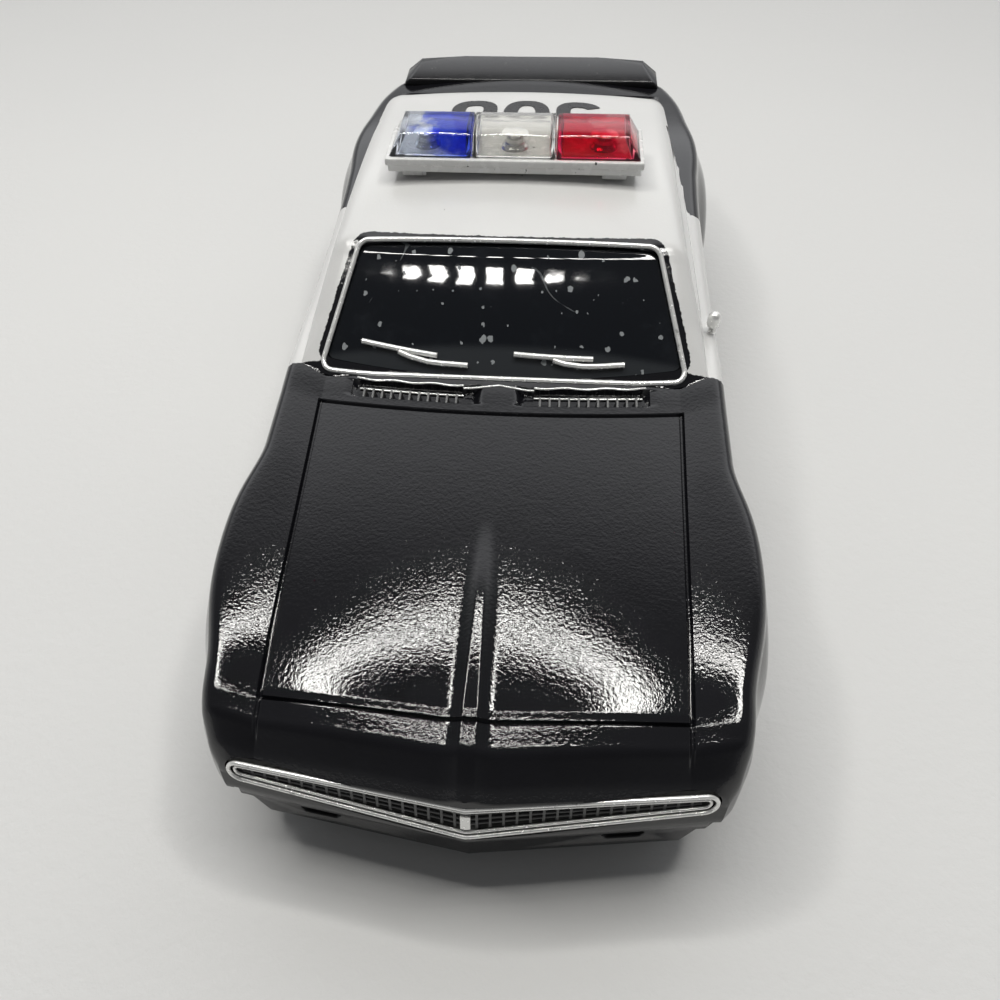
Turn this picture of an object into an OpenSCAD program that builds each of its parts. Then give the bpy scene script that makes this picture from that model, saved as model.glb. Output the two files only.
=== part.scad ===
// Toy police car: a die-cast two-door coupe with a light bar on its roof.
// The nose faces -Y, the driver's side is +X, and the tyres stand on z = 0.

/* [Body] */
// Length of the car from the nose tip to the rear bumper
body_len = 73.6; // [70:0.1:78]
// Width of the body at its widest panel, without the flares
body_w = 29.6; // [28:0.1:31]
// Height of the bonnet at the windscreen
cowl_z = 14.8; // [14.4:0.1:15.2]
// Height of the lower edge of the sides
sill_z = 3.3; // [3:0.1:3.8]
// Height at which the sides are widest
waist_z = 8.8; // [8:0.1:9.5]
// How far the lower edge of the sides tucks in
sill_tuck = 1.1; // [0.6:0.1:1.6]
// How far the sides lean in at the shoulder
shoulder_tuck = 0.5; // [0.2:0.1:0.9]
// Height of the rounded shoulder
shoulder_h = 1; // [0.6:0.1:1.4]
// Width of the rounded shoulder
shoulder_w = 0.9; // [0.6:0.1:1.3]
// Thickness of the casting
wall = 0.8; // [0.6:0.05:1]

/* [Bonnet and nose] */
// Fall from the bonnet's middle to the crest of the wings
crest_drop = 0.6; // [0.3:0.05:0.9]
// Depth of the valley between the bonnet and the wings
valley = 0.25; // [0.1:0.05:0.4]
// Width of the bonnet at its front edge
bonnet_front_w = 21.8; // [20:0.1:23]
// Width of the bonnet at its rear edge
bonnet_rear_w = 22.8; // [21:0.1:24]
// Distance of the bonnet's front edge behind the nose tip, on the middle line
bonnet_front_y = 3.8; // [3:0.1:5]
// Distance of the bonnet's rear edge behind the nose tip, on the middle line
bonnet_rear_y = 23.3; // [22:0.1:24.5]
// Width of the lines between the panels
seam_w = 0.3; // [0.2:0.05:0.4]
// Depth of the lines between the panels
seam_depth = 0.25; // [0.15:0.05:0.35]
// Setback of the nose's corners behind its tip
nose_vee = 1.75; // [1:0.05:2.5]
// Bow of the windscreen's lower edge
cowl_bow_depth = 1.6; // [1:0.05:2]
// Backward lean of the grille in degrees
nose_lean_angle = 11; // [5:1:15]
// Height of the raised spear along the bonnet's middle
spear_h = 0.3; // [0.1:0.05:0.5]
// Width of the spear at the nose
spear_w = 1.9; // [1.4:0.1:2.4]
// Length of the spear
spear_len = 15.5; // [12:0.5:18]
// Width of the grille
grille_w = 24.9; // [24:0.1:25.5]
// Height of the grille in the middle
grille_mid_h = 2.5; // [2.2:0.1:2.8]
// Height of the grille at its round ends
grille_tip_h = 1.5; // [1.3:0.1:1.7]

/* [Cabin] */
// Height of the belt line under the side windows
belt_z = 14.2; // [13.8:0.1:14.6]
// Width of the cabin at the belt
cabin_w = 26.6; // [25.5:0.1:27.5]
// Width of the roof at its rails
rail_w = 22.2; // [21:0.1:23]
// Height of the roof at its peak
roof_z = 20.5; // [20:0.1:21.5]
// Fall of the roof from its middle to its rails
roof_crown = 0.5; // [0.3:0.1:0.9]
// Radius of the roof's rails
rail_r = 1.1; // [0.8:0.1:1.4]
// Distance of the windscreen's lower edge behind the nose tip
screen_y = 26.2; // [25.5:0.1:27]
// Distance of the windscreen's upper edge behind the nose tip
header_y = 33.9; // [33:0.1:35]
// Height of the windscreen's upper edge
header_z = 19.7; // [19.3:0.1:20]
// Distance of the roof's peak behind the nose tip
peak_y = 42.5; // [41:0.5:45]
// Distance of the roof's rear edge behind the nose tip
roof_rear_y = 57; // [55.5:0.1:58]
// Height of the roof's rear edge
roof_rear_z = 19.2; // [18.8:0.1:19.5]
// Distance of the backlight's lower edge behind the nose tip
deck_y = 66.2; // [65:0.1:67]
// Width of the windscreen's lower edge
screen_w = 23.4; // [22.5:0.1:24]
// Width of the windscreen's upper edge
header_w = 19.4; // [18.5:0.1:20]
// Radius of the corners of the windows
window_r = 0.7; // [0.4:0.1:1]
// Distance of the side windows' front end behind the nose tip
side_front_y = 31.4; // [30.5:0.1:32]
// Distance of the side windows' rear end behind the nose tip
side_rear_y = 55; // [54:0.1:56]
// Height of the side windows
side_window_h = 4; // [3.6:0.1:4.2]
// Thickness of the smoked window moulding
glass_t = 0.7; // [0.5:0.1:0.9]
// Depth of the panes below the edges of their openings
pane_depth = 0.3; // [0.2:0.05:0.6]

/* [Wheels] */
// Distance of the front axle behind the nose tip
front_axle_y = 14.7; // [14:0.1:15.5]
// Distance between the axles
wheelbase = 42.9; // [42:0.1:44]
// Outer diameter of a tyre
tyre_d = 10.4; // [10:0.1:10.6]
// Width of a tyre
tyre_w = 4; // [3.5:0.1:4.2]
// Diameter of a rim where the tyre seats
rim_d = 7.2; // [6.8:0.1:7.6]
// Diameter of an axle
axle_d = 1.2; // [1:0.05:1.4]
// Distance between the outer faces of a pair of tyres
track_w = 30.6; // [30:0.1:31]
// Radius of the wheel arches
arch_r = 5.8; // [5.6:0.05:6]
// How far the flares stand out from the sides at the front
flare_front = 1.3; // [0.8:0.05:1.5]
// How far the flares stand out from the sides at the rear
flare_rear = 1.25; // [0.8:0.05:1.5]
// Width of the flares around the arches
flare_w = 2.6; // [1.8:0.1:3]

/* [Light bar] */
// Width of the light bar's base
bar_w = 17.6; // [17:0.1:18.5]
// Depth of the light bar's base, front to back
bar_depth = 5; // [4.5:0.1:5.5]
// Distance of the light bar's front face behind the nose tip
bar_y = 40.2; // [39.5:0.1:41]
// Height of the light bar's feet under its base
bar_foot_h = 0.45; // [0.35:0.05:0.7]
// Height of the light bar's base
bar_base_h = 1; // [0.8:0.05:1.3]
// Height of the lenses above the base
lens_h = 1.65; // [1.4:0.05:2]
// Width of the clear lens
lens_mid_w = 5.7; // [5:0.1:6.5]

/* [Hidden] */
// Overrun of every cut
over = 0.5;
// Gap between two fixed pieces
fit = 0.1;
// Radial play of the axles in their carriers
axle_play = 0.05;
// Radial play of a wheel pressed on its axle
press_play = 0.01;
// Counts of facets and of sections
fine_fn = 48;
body_count = 40;
cabin_count = 16;
hollow_count = 16;
pane_count = 12;
cabin_steps = [3, 4, 6];
pane_steps = [2, 3, 5];

// Grille
grille_low_z = 7.1;
grille_depth = 1;
grille_tip_lift = 0.3;
vee_len = 9;
grille_rim = 0.3;
grille_groove = 0.25;
grille_floor_depth = 0.35;
grille_proud = 0.12;
grille_bar_w = 0.16;
grille_bar_count = 15;
grille_row_count = 2;
badge_w = 0.5;
badge_h = 1;

// Front bumper
bumper_w = 24.6;
bumper_top_z = 6.9;
bumper_lip_h = 1.5;
bumper_depth = 1.1;
bumper_tuck = 1;
bumper_face_depth = 0.25;
valance_depth = 0.4;
lamp_x = 8.1;
lamp_w = 2.2;
lamp_h = 0.8;
lamp_depth = 0.3;

// Tail
bumper_proud = 0.6;
tail_lamp_x = 7.6;
tail_lamp_w = 6.6;
tail_lamp_h = 1.9;
tail_lamp_z = 10.6;
tail_lamp_depth = 0.7;
tail_lamp_proud = 0.15;
rear_bumper_w = 25.4;
rear_bumper_h = 1.9;
rear_bumper_z = 6.2;
rear_bumper_depth = 1;
rear_bumper_bow_depth = 0.5;

// Spoiler
spoiler_w = 24.4;
spoiler_len = 3.2;
spoiler_back_gap = 0.2;
spoiler_h = 1;
spoiler_seat = 0.9;
spoiler_edge = 0.35;
spoiler_end = 1.4;

// Panel lines of the doors
door_front_y = 27;
door_rear_y = 46.5;

// Chassis, posts and rivets
plate_t = 0.9;
plate_front_y = 3.4;
plate_rear_gap = 3.8;
plate_waist_w = 20.6;
well_gap = 0.6;
carrier_w = 21.4;
carrier_len = 3.2;
carrier_cap = 0.9;
post_d = 3.4;
post_front_y = 7;
post_rear_gap = 5.8;
rivet_d = 1.2;
rivet_len = 3.4;
rivet_head_d = 2.4;
rivet_head_h = 0.4;
well_x = 10.9;
pipe_d = 1;
pipe_x = 3.6;
pipe_front_y = 22;
silencer_w = 2.8;
silencer_len = 7;
silencer_h = 0.8;

// Interior
tub_w = 20.4;
tub_front_y = 28.6;
tub_rear_y = 53.6;
tub_h = 9.2;
tub_wall = 0.7;
seat_w = 6.6;
seat_len = 6.4;
seat_h = 3.1;
seat_back_h = 6.4;
seat_back_t = 1.9;
seat_r = 0.6;
seat_x = 4.9;
seat_y = 37.5;
bench_y = 46.6;
dash_len = 3.4;
dash_h = 3.2;
wheel_r = 2.2;
wheel_rod = 0.5;
column_len = 2.6;
wheel_drop = 1.2;
wheel_lean_angle = 60;

// Mirror
mirror_y = 32.4;
mirror_w = 0.9;
mirror_h = 1.3;
mirror_stalk_d = 0.5;
mirror_rise = 0.9;

// Wipers
wiper_d = 0.3;
wiper_len = 5;
wiper_arm = 1.7;
wiper_high = 1.45;
wiper_mid = 1.15;
wiper_low = 0.75;
wiper_left_x = -9.1;
wiper_right_x = 0.8;
wiper_joint_share = 0.5;

// Light bar details
bar_foot_x = 6.9;
bar_foot_w = 1.7;
bar_foot_len = 4;
bar_pad_x = 1.35;
bar_pad_w = 2.4;
bar_pad_h = 0.2;
bar_step = 0.15;
bar_step_h = 0.5;
lens_inset = 0.25;
lens_slope_w = 0.45;
lens_end_w = 0.8;
lens_crown = 0.3;
lens_crown_w = 0.7;
lens_wall = 0.35;
drum_d = 1.9;
drum_waist_d = 1.3;
drum_h = 0.85;
drum_x = 6.1;

// Wheel details
rim_inset = 0.2;
rim_barrel_t = 0.45;
rim_disc_depth = 0.75;
rim_disc_t = 0.8;
rim_slot_count = 5;
rim_slot_d = 1.1;
rim_slot_r = 2.05;
cap_d = 2.2;
cap_h = 0.45;
hub_d = 2.6;
tyre_shoulder_r = 0.6;
tyre_groove = 0.15;

// Derived places
half_len = body_len / 2;
half_w = body_w / 2;
shell_len = body_len - bumper_proud;
axle_z = tyre_d / 2;
rear_axle_y = front_axle_y + wheelbase;
spoiler_tip_y = body_len - spoiler_back_gap;
spoiler_y = spoiler_tip_y - spoiler_len;
plate_rear_y = body_len - plate_rear_gap;
post_rear_y = body_len - post_rear_gap;
floor_z = sill_z - plate_t / 2;
plate_top_z = floor_z + plate_t;
screen_z = cowl_z;
screen_angle = atan2(header_z - screen_z, header_y - screen_y);
screen_len = norm([header_y - screen_y, header_z - screen_z]);
deck_z = cowl_z + crest_drop / 2;
back_angle = atan2(roof_rear_z - deck_z, deck_y - roof_rear_y);
back_len = norm([deck_y - roof_rear_y, roof_rear_z - deck_z]);
vee_rise = nose_vee / (grille_w / 2);
glass_out = wall + fit;
glass_foot_z = belt_z - 2 * wall;
cavity_y0 = screen_y;
cavity_y1 = deck_y - wall / 2;

// Shares of the length and of the half width along the widest line of the sides
plan_shares = [
    [0, 0.875], [0.008, 0.915], [0.03, 0.955], [0.09, 0.982], [0.24, 0.995],
    [0.48, 0.985], [0.64, 0.992], [0.78, 1.012], [0.89, 0.985], [0.955, 0.93],
    [0.985, 0.875], [1, 0.82]
];
// Shares of the length and of the cowl's height along the middle line
spine_shares = [
    [0, 0.665], [0.006, 0.715], [0.02, 0.772], [0.052, 0.818], [0.16, 0.886],
    [0.317, 0.973], [0.36, 1], [0.5, 1.01], [0.68, 1.03], [0.8, 1.05],
    [0.9, 1.02], [0.955, 0.99], [0.985, 0.965], [1, 0.92]
];
// Shares of the cabin's length and of its width at the belt
cabin_shares = [[0, 0.99], [0.2, 1], [0.55, 0.995], [0.8, 0.965], [1, 0.92]];
// Shares of the bonnet's half width at which its sections have points
bonnet_x_shares = [1, 0.82, 0.62, 0.42, 0.24, 0.12, 0.06, 0];
// Shares of the half width at which the rings that close a front stand
lead_shares = [0.05, 0.4, 0.7];
// Share of the wings' crest that the bonnet may fill
wing_share = 0.9;
// Shares of the windscreen's length where its line starts to turn into the roof
header_share = 0.88;
// Shares that set the backlight and the rear end of the side windows
back_top_share = 0.98;
back_low_share = 0.93;
quarter_share = 0.45;
// Share of the roof's fall that lies inside its rails
crown_share = 0.85;
// Shares of the spear's width at its rear end and at its flat top
spear_tail_share = 0.4;
spear_flat_share = 0.6;

// Plain helpers
function along(d) = d - half_len;
function mix(a, b, u) = a + (b - a) * u;
function clamp01(u) = min(1, max(0, u));
function ease(u) = u * u * (3 - 2 * u);
function ramp(a, b, v) = ease(clamp01((v - a) / (b - a)));

// Smooth curve through key points of place and value
function key_slope(k, i) =
    let (a = max(i - 1, 0), b = min(i + 1, len(k) - 1))
    (k[b][1] - k[a][1]) / (k[b][0] - k[a][0]);
function key_span(k, v, i = 0) =
    i >= len(k) - 2 || v < k[i + 1][0] ? i : key_span(k, v, i + 1);
function hermite(a, b, da, db, u) =
    (2 * u * u * u - 3 * u * u + 1) * a + (u * u * u - 2 * u * u + u) * da
    + (3 * u * u - 2 * u * u * u) * b + (u * u * u - u * u) * db;
function curve(k, v) =
    let (i = key_span(k, v), h = k[i + 1][0] - k[i][0], u = clamp01((v - k[i][0]) / h))
    hermite(k[i][1], k[i + 1][1], h * key_slope(k, i), h * key_slope(k, i + 1), u);

// Lower body: half width, middle height and crest height at a station
function side_half(t) = half_w * curve(plan_shares, t / shell_len);
function spine_z(t) = cowl_z * curve(spine_shares, t / shell_len);
function crest_z(t) = spine_z(t) - crest_drop;

// How far a station line bends back away from the middle
function bend(t, x) =
    let (
        nose = nose_vee * (1 - ramp(0, vee_len, t)),
        cowl = cowl_bow_depth * ramp(0, bonnet_rear_y, t) * (1 - ramp(screen_y, peak_y, t)),
        s = abs(x) / (screen_w / 2)
    )
    nose * pow(s, 1.15) + cowl * s * s;

// Lean of the nose's face above the foot of the grille
function lean_back(t, z) =
    max(0, z - grille_low_z) * tan(nose_lean_angle) * (1 - ramp(0, bonnet_front_y, t));

// Flare round one wheel arch
function flare(y, z, axle_y, out) =
    let (d = norm([y - axle_y, z - axle_z]))
    out * (1 - ramp(arch_r, arch_r + flare_w, d));

// Side surface of the lower body
function side_x(t, z) =
    let (
        w = side_half(t),
        y = t + bend(t, w),
        low = z < waist_z,
        u = low ? (waist_z - z) / (waist_z - sill_z) : (z - waist_z) / (crest_z(t) - waist_z)
    )
    w - (low ? sill_tuck : shoulder_tuck) * u * u
    + flare(y, z, front_axle_y, flare_front) + flare(y, z, rear_axle_y, flare_rear);
function crest_x(t) = side_x(t, crest_z(t) - shoulder_h) - shoulder_w;

// Top surface of the lower body between the crests of the wings
function bonnet_share(t) = clamp01((t - bonnet_front_y) / (bonnet_rear_y - bonnet_front_y));
function bonnet_half(t) = mix(bonnet_front_w, bonnet_rear_w, bonnet_share(t)) / 2;
function bonnet_edge(t, cx) = min(bonnet_half(t), cx * wing_share);
function spear(t, x) =
    let (s = clamp01(1 - t / spear_len), w = spear_w / 2 * mix(spear_tail_share, 1, s))
    spear_h * ease(clamp01(3 * s)) * (1 - ramp(w * spear_flat_share, w, abs(x)));
function top_z(t, x, cx) =
    let (
        xe = bonnet_edge(t, cx),
        ze = crest_z(t) - valley * (1 - ramp(screen_y, header_y, t)),
        u = (abs(x) - xe) / (cx - xe)
    )
    abs(x) <= xe
        ? ze + (spine_z(t) - ze) * (1 - x * x / (xe * xe)) + spear(t, x)
        : ze + (crest_z(t) - ze) * (1 - (1 - u) * (1 - u));

// Right half of one section of the lower body, from the sill to the middle
function body_half(t, inset, foot_z, side_count, round_count, wing_count) =
    let (
        zs = crest_z(t) - shoulder_h,
        cx = crest_x(t),
        xe = bonnet_edge(t, cx)
    )
    concat(
        [for (j = [0:side_count - 1])
            let (z = mix(foot_z, zs, j / side_count)) [side_x(t, max(z, sill_z)) - inset, z]],
        [for (j = [0:round_count - 1])
            let (a = 90 * j / round_count)
            [cx - inset + shoulder_w * cos(a), zs + shoulder_h * sin(a) - inset * sin(a)]],
        [for (j = [0:wing_count - 1])
            let (x = mix(cx, xe, j / wing_count)) [x - inset, top_z(t, x, cx) - inset]],
        [for (s = bonnet_x_shares) [(xe - inset) * s, top_z(t, xe * s, cx) - inset]]
    );

// Cabin: middle height and half width at a station
cabin_keys = [
    [screen_y - wall, screen_z - wall],
    [mix(screen_y, header_y, 0.5), mix(screen_z, header_z, 0.5)],
    [mix(screen_y, header_y, header_share), mix(screen_z, header_z, header_share)],
    [header_y, header_z],
    [peak_y, roof_z],
    [roof_rear_y - rail_r, roof_rear_z + rail_r / 4],
    [roof_rear_y, roof_rear_z],
    [mix(roof_rear_y, deck_y, 0.5), mix(roof_rear_z, deck_z, 0.5)],
    [deck_y, deck_z],
    [deck_y + wall, deck_z - wall / 2]
];
function cabin_z(t) = curve(cabin_keys, t);
function cabin_half(t) =
    cabin_w / 2 * curve(cabin_shares, clamp01((t - screen_y) / (deck_y - screen_y)));
function cabin_side(t, z) =
    cabin_half(t) - (cabin_w - rail_w) / 2 * (z - belt_z) / (roof_z - roof_crown - belt_z);
function crown_fall(t) = roof_crown * clamp01((cabin_z(t) - belt_z + wall) / (roof_z - belt_z));
function rail(t) = max(fit, min(rail_r, (cabin_z(t) - belt_z) / 2));
function roof_at(t, x, inset) =
    let (crown = crown_fall(t), w = cabin_side(t, cabin_z(t) - inset - crown) - inset)
    cabin_z(t) - inset - crown * x * x / (w * w);

// Right half of one section of the cabin, from its foot to the middle
function cabin_section(t, inset, foot_z, steps) =
    let (
        top = cabin_z(t) - inset,
        crown = crown_fall(t),
        r = rail(t),
        zs = top - crown - r,
        xs = cabin_side(t, zs) - inset,
        xr = cabin_side(t, top - crown) - inset - r
    )
    concat(
        [for (j = [0:steps[0] - 1])
            let (z = mix(foot_z, zs, j / steps[0])) [cabin_side(t, z) - inset, z]],
        [for (j = [0:steps[1] - 1])
            let (a = 90 * j / steps[1])
            [mix(xr, xs, cos(a)), zs + (r + crown * (1 - crown_share)) * sin(a)]],
        [for (j = [0:steps[2]])
            let (u = 1 - j / steps[2]) [xr * u, top - crown * crown_share * u * u]]
    );

// A half section placed in space, then mirrored into a closed ring
function placed(t, half) =
    [for (p = half) [p[0], along(t + bend(t, p[0]) + lean_back(t, p[1])), p[1]]];
function flip(p) = [-p[0], p[1], p[2]];
function backward(list) = [for (j = [len(list) - 1:-1:0]) list[j]];
function ring(half) = concat(half, [for (p = backward(half)) if (p[0] > 0) flip(p)]);

// Rings that lead in from the middle line to the first section, so that a front follows its bow
function drawn_in(half, share) = [for (p = half) [p[0] * share, p[1]]];
function lead_rings(t, half) = [for (share = lead_shares) ring(placed(t, drawn_in(half, share)))];

// Stations that crowd towards both ends
function stations(a, b, n) = [for (i = [0:n]) mix(a, b, (1 - cos(180 * i / n)) / 2)];

// Solid through a row of rings with the same number of points. Both ends are closed by
// strips from each point to its partner across the ring.
module loft(rings) {
    n = len(rings);
    m = len(rings[0]);
    skin = [for (i = [0:n - 2]) for (j = [0:m - 1])
        let (k = (j + 1) % m, a = i * m, b = a + m)
        each [[a + j, b + k, b + j], [a + j, a + k, b + k]]];
    front = [for (j = [0:floor((m - 3) / 2)])
        let (c = m - 2 - j, d = m - 1 - j)
        each concat([[j, d, j + 1]], c > j + 1 ? [[d, c, j + 1]] : [])];
    back = [for (f = front) [for (v = [2:-1:0]) (n - 1) * m + f[v]]];
    polyhedron([for (r = rings) each r], concat(skin, front, back));
}

module lower_body(inset, foot_z, a, b, count, side_count, round_count, wing_count) {
    lead = lead_rings(a, body_half(a, inset, foot_z, side_count, round_count, wing_count));
    loft(concat(lead, [for (t = stations(a, b, count))
        ring(placed(t, body_half(t, inset, foot_z, side_count, round_count, wing_count)))]));
}

module cabin(inset, foot_z, a, b, count) {
    lead = lead_rings(a, cabin_section(a, inset, foot_z, cabin_steps));
    loft(concat(lead, [for (t = stations(a, b, count))
        ring(placed(t, cabin_section(t, inset, foot_z, cabin_steps)))]));
}

// Outline with its corners rounded
module rounded(r) {
    offset(r = r) offset(delta = -r) children();
}

// Windscreen opening, square to the slope of the glass, with bowed edges
module screen_cut(shrink) {
    low_lift = cowl_bow_depth * cos(screen_angle);
    steps = [for (i = [-5:5]) i / 5];
    low = [for (s = steps) [screen_w / 2 * s, low_lift * s * s]];
    high = [for (s = steps) [-header_w / 2 * s, screen_len + low_lift / 3 * s * s]];
    translate([0, along(screen_y), screen_z]) rotate([screen_angle, 0, 0])
    translate([0, 0, -3 * wall]) linear_extrude(6 * wall) offset(delta = -shrink) rounded(window_r)
    polygon(concat(low, high));
}

// Backlight opening, square to the slope of the tail
module back_cut(shrink) {
    top = header_w / 2 * back_top_share;
    low = screen_w / 2 * back_low_share;
    translate([0, along(roof_rear_y), roof_rear_z]) rotate([-back_angle, 0, 0])
    translate([0, 0, -3 * wall]) linear_extrude(6 * wall) offset(delta = -shrink) rounded(window_r)
    polygon([
        [-top, rail_r / 2], [top, rail_r / 2], [low, back_len - rail_r], [-low, back_len - rail_r]
    ]);
}

// Side windows, cut straight through both sides
module side_cut(shrink) {
    low = belt_z + wall;
    high = low + side_window_h;
    rake = side_window_h / tan(screen_angle);
    translate([-half_w, 0, 0]) rotate([90, 0, 90]) linear_extrude(body_w) offset(delta = -shrink)
    rounded(window_r) polygon([
        [along(side_front_y), low], [along(side_front_y + rake), high],
        [along(side_rear_y - rake * quarter_share), high], [along(side_rear_y), low]
    ]);
}

// Wheel wells and arches of one axle
module arch_cut(axle_y) {
    for (s = [-1, 1])
        translate([s * well_x, along(axle_y), axle_z]) rotate([0, s * 90, 0])
        cylinder(r = arch_r, h = half_w, $fn = fine_fn);
}

// Chevron in plan that takes the front view of its children
module chevron(depth, front) {
    rise = half_w * vee_rise;
    intersection() {
        translate([0, along(front), 0]) linear_extrude(cowl_z) polygon([
            [0, 0], [half_w, rise], [half_w, rise + depth],
            [0, depth], [-half_w, rise + depth], [-half_w, rise]
        ]);
        translate([0, half_len, 0]) rotate([90, 0, 0]) linear_extrude(body_len + 2 * over) children();
    }
}

module nose_leaned() {
    translate([0, along(0), grille_low_z]) rotate([-nose_lean_angle, 0, 0])
    translate([0, -along(0), -grille_low_z]) children();
}

// Front view of the grille: tall in the middle, slimmer at its round ends
module grille_outline(grow) {
    r = grille_tip_h / 2;
    hull() {
        for (s = [-1, 1])
            translate([s * (grille_w / 2 - r), grille_low_z + grille_mid_h / 2 + grille_tip_lift])
            circle(r = r + grow, $fn = fine_fn / 2);
        translate([-badge_w, grille_low_z - grow]) square([2 * badge_w, grille_mid_h + 2 * grow]);
    }
}

module bumper_outline(grow, drop) {
    w = bumper_w / 2 + grow;
    low_w = w - bumper_tuck;
    lip_z = bumper_top_z - bumper_lip_h;
    polygon([
        [-w, bumper_top_z + grow], [w, bumper_top_z + grow], [w, lip_z], [low_w, sill_z],
        [low_w, sill_z - drop], [-low_w, sill_z - drop], [-low_w, sill_z], [-w, lip_z]
    ]);
}

module tail_lamp_blocks(grow, proud) {
    for (s = [-1, 1])
        translate([
            s * tail_lamp_x - tail_lamp_w / 2 - grow,
            along(shell_len - tail_lamp_depth) - grow,
            tail_lamp_z - tail_lamp_h / 2 - grow
        ])
        cube([tail_lamp_w + 2 * grow, tail_lamp_depth + grow + proud, tail_lamp_h + 2 * grow]);
}

module rear_bumper_block(grow, reach) {
    w = rear_bumper_w / 2 + grow;
    translate([0, along(shell_len - rear_bumper_depth) - grow, rear_bumper_z - grow])
    linear_extrude(rear_bumper_h + 2 * grow) polygon([
        [-w, 0], [w, 0], [w, rear_bumper_depth + reach - rear_bumper_bow_depth + grow],
        [w / 2, rear_bumper_depth + reach + grow], [-w / 2, rear_bumper_depth + reach + grow],
        [-w, rear_bumper_depth + reach - rear_bumper_bow_depth + grow]
    ]);
}

module spoiler_block(grow) {
    z = spine_z(spoiler_y);
    low = z - spoiler_seat;
    w = spoiler_w / 2;
    intersection() {
        translate([-half_w, 0, 0]) rotate([90, 0, 90]) linear_extrude(body_w) offset(delta = grow) polygon([
            [along(spoiler_y), low], [along(spoiler_tip_y), low],
            [along(spoiler_tip_y) + spoiler_edge / 2, z + spoiler_h - spoiler_edge],
            [along(spoiler_tip_y), z + spoiler_h], [along(spoiler_y), z]
        ]);
        translate([0, half_len + over, 0]) rotate([90, 0, 0]) linear_extrude(half_len) offset(delta = grow)
        polygon([
            [-w, low], [w, low], [w, z - spoiler_edge], [w - spoiler_end, z + spoiler_h - spoiler_edge],
            [w / 2, z + spoiler_h], [-w / 2, z + spoiler_h],
            [spoiler_end - w, z + spoiler_h - spoiler_edge], [-w, z - spoiler_edge]
        ]);
    }
}

// Panel line as a chain of small links through points in space, open towards one side
module seam(points, out) {
    for (i = [1:len(points) - 1])
        hull()
            for (p = [points[i - 1], points[i]], q = [p, p + out])
                translate(q) sphere(d = seam_w, $fn = 5);
}

// Points of the panel lines on the top and on the side of the body
seam_lift = seam_w / 2 - seam_depth;
function top_point(t, share) =
    let (x = share * bonnet_edge(t, crest_x(t)))
    [x, along(t + bend(t, x)), top_z(t, x, crest_x(t)) + seam_lift];
function side_point(t, z) =
    [side_x(t, z) + seam_lift, along(t + bend(t, side_x(t, z))), z];

module panel_lines() {
    edge_shares = [for (i = [-4:4]) i / 4];
    for (t = [bonnet_front_y, bonnet_rear_y])
        seam([for (s = edge_shares) top_point(t, s)], [0, 0, seam_w]);
    for (s = [-1, 1])
        seam([for (i = [0:4]) top_point(mix(bonnet_front_y, bonnet_rear_y, i / 4), s)], [0, 0, seam_w]);
    for (t = [door_front_y, door_rear_y]) {
        line = [for (i = [0:3]) side_point(t, mix(sill_z, crest_z(t) - shoulder_h, i / 3))];
        seam(line, [seam_w, 0, 0]);
        seam([for (p = line) flip(p)], [-seam_w, 0, 0]);
    }
}

module posts(d, low_z, reach) {
    for (y = [post_front_y, post_rear_y])
        translate([0, along(y), low_z]) cylinder(d = d, h = reach - low_z, $fn = fine_fn / 2);
}

module body_posts() {
    low = plate_top_z + fit;
    for (y = [post_front_y, post_rear_y])
        translate([0, along(y), low])
        cylinder(d = post_d, h = spine_z(y) - wall / 2 - low, $fn = fine_fn / 2);
}

module body_shell() {
    color("#141416") difference() {
        union() {
            difference() {
                union() {
                    lower_body(0, sill_z, 0, shell_len, body_count, 8, 4, 3);
                    cabin(0, belt_z - 2 * wall, screen_y - wall, deck_y + wall, cabin_count);
                }
                lower_body(wall, sill_z - over, 2 * wall, spoiler_y - 2 * fit, hollow_count, 5, 2, 1);
                cabin(wall, belt_z - 4 * wall, cavity_y0, cavity_y1, cabin_count);
            }
            body_posts();
        }
        posts(rivet_d + 2 * fit, plate_top_z - over, floor_z + rivet_len + fit);
        screen_cut(0);
        back_cut(0);
        side_cut(0);
        arch_cut(front_axle_y);
        arch_cut(rear_axle_y);
        nose_leaned() chevron(grille_depth + over + fit, -over) grille_outline(fit);
        chevron(bumper_depth + over + fit, -over) bumper_outline(fit, over);
        tail_lamp_blocks(fit, over);
        rear_bumper_block(fit, bumper_proud);
        spoiler_block(fit);
        panel_lines();
    }
}

// Arch-shaped shell under the cabin's skin, as rings of an outer and an inner line
module glass_shell(out, inside, count, steps) {
    loft([for (v = stations(cavity_y0, cavity_y1, count))
        let (
            t = min(max(v, cavity_y0 + fit), cavity_y1 - fit),
            outer = ring(placed(t, cabin_section(t, out, glass_foot_z, steps))),
            inner = ring(placed(t, cabin_section(t, inside, glass_foot_z, steps)))
        )
        concat(outer, backward(inner))]);
}

// One moulding for all windows: the shell, with panes that stand up into the openings
module window_insert() {
    inside = glass_out + glass_t;
    color("#1b1f24") {
        glass_shell(glass_out, inside, cabin_count, cabin_steps);
        intersection() {
            glass_shell(pane_depth, inside - glass_t / 2, pane_count, pane_steps);
            union() {
                screen_cut(fit);
                back_cut(fit);
                side_cut(fit);
            }
        }
    }
}

// Point above the outer face of the windscreen, lifted by a wiper's own thickness
function glass_point(rise, x) =
    let (t = screen_y + rise)
    [x, along(t + bend(t, x)), roof_at(t, x, pane_depth) + wiper_d];

module rod(a, b, d) {
    hull() {
        translate(a) sphere(d = d, $fn = 8);
        translate(b) sphere(d = d, $fn = 8);
    }
}

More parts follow.
